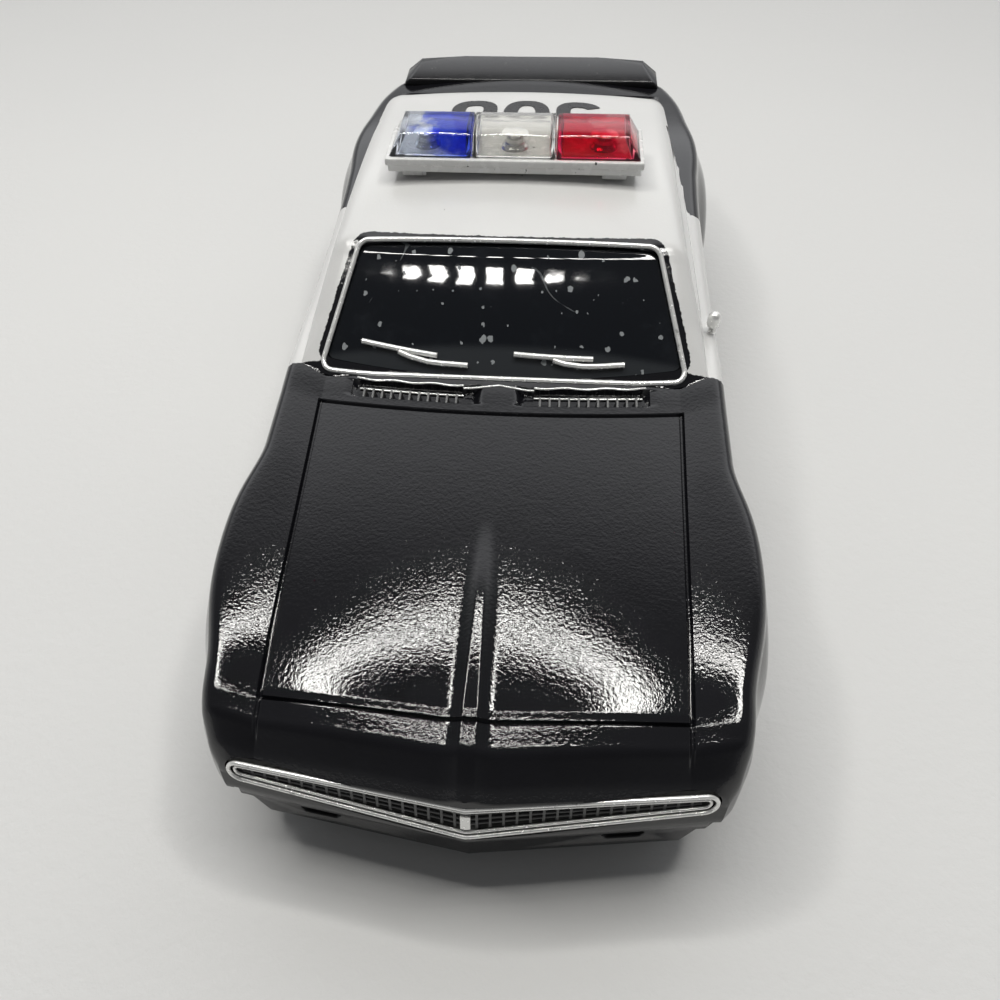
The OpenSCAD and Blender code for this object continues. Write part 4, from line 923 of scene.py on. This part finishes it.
# %% [markdown]
# ## Smoked windows
# One dark moulding fills all openings from inside. Its panes stand up into the openings and
# end a little below the metal, as the reflections at the edges of the windscreen show. Flat
# panes would be quicker, but the real one is bowed with the roof, so it is lofted like it.

# %% Window moulding
PANE_IN, GLASS_GRID = 1.25, (8, 6, 16)


def glass_shell(name, out, inside):
    rings, last = [], DECK_Y - WALL / 2
    for v in stations(SCREEN_Y, last, 80):
        t = min(max(v, SCREEN_Y + FIT), last - FIT)
        outer = ring(placed(t, cabin_section(t, out, GLASS_FOOT, GLASS_GRID)))
        inner = ring(placed(t, cabin_section(t, inside, GLASS_FOOT, GLASS_GRID)))
        rings.append(np.concatenate([outer, inner[::-1]]))
    return loft(name, rings)


windows = glass_shell("window_moulding", GLASS_OUT, GLASS_IN)
panes = []
for cutter in window_cutters(FIT):
    pane = glass_shell("pane", PANE_DEPTH, PANE_IN)
    panes.append(boolean(pane, "INTERSECT", [cutter]))
boolean(windows, "UNION", panes)
dress(windows, GLASS, "car", "window_insert")
print("windows", len(windows.data.polygons), "faces")

# %% [markdown]
# ## Bright lines
# The windscreen's frame, the two outlines of the grille and the wipers are thin raised
# lines in silver ink. A bevelled curve object could draw them. Here a small round section is
# swept along points on the skin itself, so that each line hugs the casting.

# %% Swept lines
LINE_UP = np.array([0.05, -0.4, 0.9])
FRAME_GROW, FRAME_R = 0.1, 0.17


def tube(points, r, sides=10, closed=False):
    """Verts and faces of a round section along a path, in millimetres."""
    p = np.asarray(points, float)
    n, along = len(p), tangents(p, closed)
    side = unit(np.cross(along, LINE_UP))
    lift = np.cross(side, along)
    a = 2 * math.pi * np.arange(sides) / sides
    c, s = np.cos(a)[None, :, None], np.sin(a)[None, :, None]
    rings = p[:, None] + r * (c * side[:, None] + s * lift[:, None])
    faces = [(k0, k3, k2, k1) for k0, k1, k2, k3 in skin_faces(n, sides, closed)]
    if not closed:
        faces += [tuple(range(sides))[::-1], tuple(range((n - 1) * sides, n * sides))]
    return rings.reshape(-1, 3), faces


def swept(name, paths, r, mat, closed=False, node=None):
    verts, faces = [], []
    for path in paths:
        v, f = tube(path, r, 10, closed)
        faces += [tuple(i + sum(map(len, verts)) for i in face) for face in f]
        verts.append(v)
    obj = solid(name, np.concatenate(verts), faces)
    print(name, len(paths), "lines")
    return dress(baked(obj, 60), mat, "car", node)


def on_skin(x, y, lift):
    t = station_of(np.asarray(y, float), np.asarray(x, float))
    low = top_z(t, x, crest_x(t)) * (t < SCREEN_Y + 1)
    return np.stack([x, y, np.maximum(roof_at(t, x), low) + lift], 1)


def frame_path(grow):
    outline = shrunk(screen_outline(), -grow)
    return on_skin(outline[:, 0], SCREEN_Y + outline[:, 1] * math.cos(SCREEN_ANGLE), 0.0)


swept("windscreen_frame", [frame_path(FRAME_GROW)], FRAME_R, SILVER, True)

# %% [markdown]
# ## Wipers
# Each wiper is a straight blade with a bent arm under it. A flat print would do from afar, but
# round lines that stand on the glass catch the light as the real ones do.

# %% Wipers
WIPER_STARTS, BLADE_LEN, WIPER_R, ABOVE_GLASS = (-9.1, 0.8), 5.0, 0.18, 0.27
BLADE_RISE = (1.45, 1.15)
ARM = [(1.15, 2.5), (0.95, 3.2), (0.78, 4.4), (0.75, 5.3), (0.75, 7.0)]


def glass_point(rise, x):
    t = SCREEN_Y + rise
    return (x, float(t + bend(t, x)), float(roof_at(t, x, PANE_DEPTH)) + ABOVE_GLASS)


arms = []
for start in WIPER_STARTS:
    arms.append([glass_point(mix(*BLADE_RISE, k / 6), start + BLADE_LEN * k / 6) for k in range(7)])
    arms.append([glass_point(rise, start + along) for rise, along in ARM])
swept("wiper_pair", arms, WIPER_R, SILVER, False, "wipers")

# %% [markdown]
# ## Details that repeat
# The ribs of the air intake, the bars of the grille and the blocks of the tyres are the same
# small bar many times over. One node group sets a bar on each point, turned and scaled by
# the point's own values, and the result is made real before it joins the car.

# %% Bars on points
def repeat_group():
    g = bpy.data.node_groups.new("Bars on points", "GeometryNodeTree")
    face = g.interface
    face.new_socket("Points", in_out="INPUT", socket_type="NodeSocketGeometry")
    size = face.new_socket("Bar size", in_out="INPUT", socket_type="NodeSocketVector")
    coat = face.new_socket("Finish", in_out="INPUT", socket_type="NodeSocketMaterial")
    face.new_socket("Bars", in_out="OUTPUT", socket_type="NodeSocketGeometry")
    add = g.nodes.new
    source, sink, bar = add("NodeGroupInput"), add("NodeGroupOutput"), add("GeometryNodeMeshCube")
    place, real = add("GeometryNodeInstanceOnPoints"), add("GeometryNodeRealizeInstances")
    paint = add("GeometryNodeSetMaterial")
    for name, target in (("turn", "Rotation"), ("grow", "Scale")):
        read = add("GeometryNodeInputNamedAttribute")
        read.data_type = "FLOAT_VECTOR"
        read.inputs["Name"].default_value = name
        g.links.new(read.outputs["Attribute"], place.inputs[target])
    for start, out, target, into in (
            (source, "Points", place, "Points"), (source, "Bar size", bar, "Size"),
            (bar, "Mesh", place, "Instance"), (place, "Instances", real, "Geometry"),
            (real, "Geometry", paint, "Geometry"), (source, "Finish", paint, "Material"),
            (paint, "Geometry", sink, "Bars")):
        g.links.new(start.outputs[out], target.inputs[into])
    return g, size.identifier, coat.identifier


BARS, SIZE_ID, FINISH_ID = repeat_group()


def repeated(name, points, turn, grow, size_mm, mat, body_name="car"):
    obj = new_object(name, metres(points), [])
    for key, values in (("turn", turn), ("grow", grow)):
        attribute = obj.data.attributes.new(key, "FLOAT_VECTOR", "POINT")
        filled = np.broadcast_to(values, (len(points), 3)).astype(np.float32)
        attribute.data.foreach_set("vector", filled.ravel())
    mod = obj.modifiers.new("bars", "NODES")
    mod.node_group = BARS
    mod[SIZE_ID] = tuple(v * MM for v in size_mm)
    mod[FINISH_ID] = mat
    baked(obj, 30)
    print(name, len(points), "bars")
    return dress(obj, mat, body_name)


# %% [markdown]
# ## Air intake
# Cabin air enters through a slot in front of the windscreen. On the toy it is a shallow trough
# with cast ribs and thin silver lips. The trough is in the skin already. The ribs come from
# the node group, so that their number and pitch stay easy to change.

# %% Intake ribs and lips
RIB_COUNT, RIB_PITCH, RIB_FIRST_X, RIB_SIZE, RIB_TILT = 11, 0.6, 2.6, (0.12, 0.85, 0.42), math.radians(8)
LIP_IN_X, LIP_OUT_X, LIP_R, LIP_WAVE = 2.2, 9.2, 0.07, 0.06


def cowl_point(t, x, lift):
    return (x, float(t + bend(t, x)), float(top_z(t, x, crest_x(t))) + lift)


ribs = [cowl_point(INTAKE_FRONT_Y + 0.42, side * (RIB_FIRST_X + RIB_PITCH * i), -0.3)
        for side in (-1, 1) for i in range(RIB_COUNT)]
repeated("intake_ribs", ribs, (RIB_TILT, 0, 0), (1, 1, 1), RIB_SIZE, RIB)
lips = []
for side in (-1, 1):
    wavy = enumerate(np.linspace(LIP_IN_X, LIP_OUT_X, 18))
    lips.append([cowl_point(INTAKE_BACK_Y - 0.2 - LIP_WAVE * math.sin(k), side * x, 0.0) for k, x in wavy])
    lips.append([cowl_point(INTAKE_BACK_Y - 0.64, side * x, -0.42)
                 for x in np.linspace(LIP_IN_X, INTAKE_OUT_X, 12)])
lips.append([cowl_point(INTAKE_BACK_Y - 0.07 - 0.35 * min(abs(x) / 1.8, 1), x, 0.0)
             for x in np.linspace(-LIP_IN_X, LIP_IN_X, 15)])
swept("intake_lips", lips, LIP_R, SILVER)

# %% [markdown]
# ## Grille
# The grille is a dark panel with a bright double outline and a fine grid behind it. It could be
# cut from one mesh. A panel, two swept lines and a set of bars are simpler to shape, and all of
# them follow the V and the lean of the nose. A small plain block sits in the middle.

# %% Grille
GRID_HALF_W, BAR_COUNT, BAR_FIRST_X, BAR_PITCH = 11.6, 17, 0.55, 0.66
BAR_SIZE, ROW_LEVELS, ROW_R = (0.13, 0.2, 1.0), (-0.42, 0.0, 0.42), 0.07
GRILLE_LINES = (("grille_outer_line", 0.1, 0.06, 0.12), ("grille_inner_line", 0.42, 0.12, 0.085))
BADGE_HALF_W, BADGE_LOW_Z, BADGE_TOP_Z = 0.25, 7.85, 8.85
GRILLE_AXIS_Z = GRILLE_LOW_Z + GRILLE_MID_H / 2


def nose_point(x, z, front):
    vee = np.abs(x) * NOSE_VEE / (GRILLE_W / 2)
    return np.stack([x, vee + (z - GRILLE_LOW_Z) * math.tan(NOSE_LEAN) + front, z], -1)


panel = chevron("grille_panel", grille_outline(0), depth=0.65, front=0.35, lean=NOSE_LEAN)
dress(baked(panel, 30), DARK, "car", "grille_insert")
for name, inset, front, r in GRILLE_LINES:
    line = grille_outline(-inset)
    swept(name, [nose_point(line[:, 0], line[:, 1], front)], r, SILVER, True)

# %% Bars, rows and middle block of the grille
xs = np.array([side * (BAR_FIRST_X + BAR_PITCH * i) for side in (-1, 1) for i in range(BAR_COUNT)])
share = np.abs(xs) / GRID_HALF_W
zs = GRILLE_AXIS_Z + GRILLE_TIP_LIFT * share
grow = np.stack([np.ones(len(xs)), np.ones(len(xs)), mix(1.65, 0.75, share)], 1)
repeated("grille_bars", nose_point(xs, zs, 0.32), (-NOSE_LEAN, 0, 0), grow, BAR_SIZE, GRID)
row_x = np.array([-GRID_HALF_W, -6, 0, 6, GRID_HALF_W])
share = np.abs(row_x) / GRID_HALF_W
rows = [nose_point(row_x, GRILLE_AXIS_Z + share * GRILLE_TIP_LIFT + level * mix(1.0, 0.55, share), 0.3)
        for level in ROW_LEVELS]
swept("grille_rows", rows, ROW_R, GRID)
right = [(0, BADGE_LOW_Z), (BADGE_HALF_W, BADGE_LOW_Z), (BADGE_HALF_W, BADGE_TOP_Z)]
left = [(0, BADGE_TOP_Z), (-BADGE_HALF_W, BADGE_TOP_Z), (-BADGE_HALF_W, BADGE_LOW_Z)]
badge = chevron("grille_badge", np.array(right + left), depth=0.35, front=0.04, lean=NOSE_LEAN)
dress(baked(badge, 30), SILVER)

# %% [markdown]
# ## The roof number
# A three-figure number lets a helicopter tell one car from another. It reads from behind, so
# from the nose it stands on its head. A text object would bring in a font and lie flat. The
# figures are drawn as broad strokes that are laid on the roof and follow its curve.

# %% Figures
def oval(cx, cy, a, b, start, end, n=28):
    w = np.radians(np.linspace(start, end, n))
    c, s = np.cos(w), np.sin(w)
    return np.stack([cx + a * np.sign(c) * np.abs(c) ** 0.75, cy + b * np.sign(s) * np.abs(s) ** 0.75], 1)


FIGURES = {
    "5": [np.array([(1.25, 2.45), (-0.75, 2.45)]), np.array([(-0.95, 2.9), (-1.05, 0.1)]),
          oval(0, -0.85, 1.25, 1.62, 140, -150)],
    "0": [oval(0, 0, 1.25, 2.47, 0, 360, 48)],
    "6": [oval(0, -0.95, 1.25, 1.52, 0, 360, 40),
          np.concatenate([[(-1.25, -0.9)], oval(0, 0.85, 1.25, 1.62, 180, 20)])],
}


FILM_MM = 0.03


def strokes(name, text, x_left, pitch, y_mid, width):
    verts, faces = [], []
    part = np.linspace(0, 1, 6)[:-1, None]
    for k, figure in enumerate(text):
        for layer, path in enumerate(FIGURES[figure]):
            fine = np.concatenate([mix(a, b, part) for a, b in zip(path[:-1], path[1:])] + [path[-1:]])
            d = unit(np.gradient(fine, axis=0))
            n = np.stack([-d[:, 1], d[:, 0]], 1) * width / 2
            flat = np.stack([fine + n, fine - n], 1).reshape(-1, 2)
            x, y = x_left - pitch * k - flat[:, 0], y_mid - flat[:, 1]
            base = sum(map(len, verts))
            verts.append(on_skin(x, y, FILM_MM + 0.008 * layer))
            faces += [(q, q + 1, q + 3, q + 2) for q in range(base, base + 2 * len(fine) - 2, 2)]
    obj = new_object(name, metres(np.concatenate(verts)), faces)
    mod = obj.modifiers.new("film", "SOLIDIFY")
    mod.thickness, mod.offset = FILM_MM * MM, 0
    baked(obj, 60)
    recalc(obj)
    print(name, text, len(obj.data.polygons), "faces")
    return dress(obj, INK)


strokes("roof_number", "506", x_left=4.5, pitch=4.1, y_mid=51.4, width=1.1)

# %% [markdown]
# ## Tyres
# The tyres are soft rings with a round shoulder. A torus would be too round, so a drawn profile
# is turned about the axle. Rows of small blocks from the same node group make the tread.

# %% Tyres and tread
TYRE_OUT_X, TYRE_W, TREAD_R = 15.3, 4.0, 5.1
TREAD_ROWS, ROW_BLOCKS, BLOCK_SIZE = (0.75, 1.58, 2.42, 3.25), 40, (0.66, 0.19, 0.6)
TYRE_PROFILE = [(3.62, 0.1), (3.72, 0.0), (4.5, 0.0), (4.85, 0.08), (5.02, 0.25), (5.09, 0.5), (5.09, 3.5),
                (5.02, 3.75), (4.85, 3.92), (4.55, 4.0), (4.4, 3.97), (4.25, 4.0), (3.72, 4.0), (3.62, 3.9)]


def tyre(end, side):
    y, s = (FRONT_AXLE_Y if end == "front" else REAR_AXLE_Y), (1 if side == "left" else -1)
    p, n = np.array(TYRE_PROFILE), 72
    m, a = len(p), 2 * math.pi * np.arange(n) / n
    x = s * (TYRE_OUT_X - TYRE_W + p[:, 1])
    verts = np.stack([np.broadcast_to(x, (n, m)), y + np.cos(a)[:, None] * p[:, 0],
                      AXLE_Z + np.sin(a)[:, None] * p[:, 0]], -1)
    obj = solid("tyre_ring_%s_%s" % (end, side), verts.reshape(-1, 3), skin_faces(n, m, True))
    dress(baked(obj, 50), RUBBER, end + "_wheelset", "tyre_%s_%s" % (end, side))
    points, turns = [], []
    for row, across in enumerate(TREAD_ROWS):
        for k in range(ROW_BLOCKS):
            w = 2 * math.pi * (k + 0.5 * (row % 2)) / ROW_BLOCKS
            points.append((s * (TYRE_OUT_X - TYRE_W + across), y + TREAD_R * math.cos(w),
                           AXLE_Z + TREAD_R * math.sin(w)))
            turns.append((w, 0, 0))
    repeated("tread_%s_%s" % (end, side), np.array(points), np.array(turns), (1, 1, 1), BLOCK_SIZE,
             RUBBER, end + "_wheelset")


for end in ("front", "rear"):
    for side in ("left", "right"):
        tyre(end, side)

# %% [markdown]
# ## The picture
# The camera stands above the nose, as in the photograph. Its place could be set by eye; these
# numbers come from points that were measured on both sides of the car.

# %% Camera
CAM_POS, CAM_AZ, CAM_EL, CAM_ROLL = (2.892, -16.197, 50.988), 6.365, 48.645, -2.01
CAM_F_PX, CAM_SHIFT_PX = 875.98, (-24.8, 5.3)
IMAGE_PX = 1000.0


def make_camera():
    az, el, roll = (math.radians(v) for v in (CAM_AZ, CAM_EL, CAM_ROLL))
    back = Vector((math.sin(az) * math.cos(el), -math.cos(az) * math.cos(el), math.sin(el)))
    right = Vector((math.cos(az), math.sin(az), 0))
    up = back.cross(right)
    c, s = math.cos(roll), math.sin(roll)
    turn = Matrix((right * c + up * s, up * c - right * s, back)).transposed()
    data = bpy.data.cameras.new("camera")
    data.sensor_width, data.lens = 36.0, 36.0 * CAM_F_PX / IMAGE_PX
    data.shift_x, data.shift_y = -CAM_SHIFT_PX[0] / IMAGE_PX, CAM_SHIFT_PX[1] / IMAGE_PX
    data.clip_start, data.clip_end = 0.001, 10
    cam = bpy.data.objects.new("camera", data)
    cam.matrix_world = Matrix.Translation(metres([CAM_POS])[0]) @ turn.to_4x4()
    scene.collection.objects.link(cam)
    scene.camera = cam
    return cam


print("camera lens %.1f mm" % make_camera().data.lens)

# %% [markdown]
# ## Floor, room and lamps
# The car stands on pale paper. A far wall could close the view; here the paper glows a little
# beyond the car instead. The room is soft grey, darker in front, with a bright patch of
# ceiling behind the car. A ring of small lamps hangs over it: its image makes the bright arch
# on the bonnet and the dots in the windscreen, which one large lamp would not.

# %% Paper floor
FLOOR_HALF, GLOW_FROM, GLOW_TO, GLOW = 3, 0.2, 0.9, 0.4
e = FLOOR_HALF
floor = new_object("floor", [(-e, -e, 0), (e, -e, 0), (e, e, 0), (-e, e, 0)], [(0, 1, 2, 3)])
paper = Finish("paper")
away = paper.add("ShaderNodeVectorMath", {"operation": "LENGTH"})
paper.put(away.inputs[0], paper.coord)
floor.data.materials.append(paper.set(
    Emission_Color=(1.0, 1.0, 1.0, 1.0),
    Emission_Strength=paper.step(away.outputs["Value"], GLOW_FROM, GLOW_TO, 0.0, GLOW),
    Base_Color=paper.mix(paper.noise(0.02, 3), (0.60, 0.60, 0.595), (0.64, 0.64, 0.63)), Roughness=0.85,
    Normal=paper.bump(paper.noise(1.2, 4, 0.6), 0.05)))
print("floor", 2 * FLOOR_HALF, "m wide")

# %% Room
BACKWARDS, UP = 1, 2
WALL_LIGHT, TOP_LIGHT, FRONT_SHARE, CEILING_LIGHT = 0.5, 0.18, 0.5, 1.3
world = bpy.data.worlds.new("room")
world.use_nodes = True
room = Nodes(world.node_tree)
where = room.add("ShaderNodeTexCoord").outputs["Generated"]
toward = room.add("ShaderNodeSeparateXYZ", Vector=where).outputs
ceiling = room.math("MULTIPLY", room.step(toward[BACKWARDS], 0.36, 0.62, 0.0, CEILING_LIGHT),
                    room.step(toward[UP], 0.2, 0.45, 0.0, 1.0))
walls = room.math("MULTIPLY", room.step(toward[UP], 0.0, 0.5, WALL_LIGHT, TOP_LIGHT),
                  room.step(toward[BACKWARDS], -0.7, 0.1, FRONT_SHARE, 1.0))
sky = room.tree.nodes["Background"].inputs
room.put(sky["Strength"], room.math("ADD", walls, ceiling))
room.put(sky["Color"], (0.97, 0.98, 1.0, 1))
scene.world = world
print("room light", WALL_LIGHT, "to", TOP_LIGHT, "and ceiling", CEILING_LIGHT)

# %% Ring of lamps
def ring_light(z, middle, outer, inner, drop, count, strength):
    """An oval ring of lamps: a wide band behind, a narrow and straighter one in front."""
    a = 2 * math.pi * np.arange(count) / count
    half = 0.55 * math.pi / count

    def reach(w):
        return np.where(np.sin(w) < 0, -np.abs(np.sin(w)) ** 0.6, np.sin(w))

    corners = ((inner, drop, -half), (outer, 0, -half), (outer, 0, half), (inner, drop, half))
    verts = np.concatenate([np.stack([r[0] * np.cos(a + w), r[1] * reach(a + w) - d, 0 * a], 1)
                            for r, d, w in corners])
    faces = [(i, i + count, i + 2 * count, i + 3 * count) for i in range(count)]
    obj = new_object("ring_lamps", metres(verts + (*middle, z)), faces)
    lamp = Finish("lamp")
    obj.data.materials.append(lamp.set(Emission_Color=(1.0, 0.985, 0.95, 1.0), Emission_Strength=strength))
    return obj


lamps = ring_light(z=230, middle=(-18, 46.47), outer=(119, 47.53), inner=(95, 39.5), drop=3.47,
                   count=36, strength=50)
print("lamps", len(lamps.data.polygons))
scene.view_settings.view_transform = "Standard"
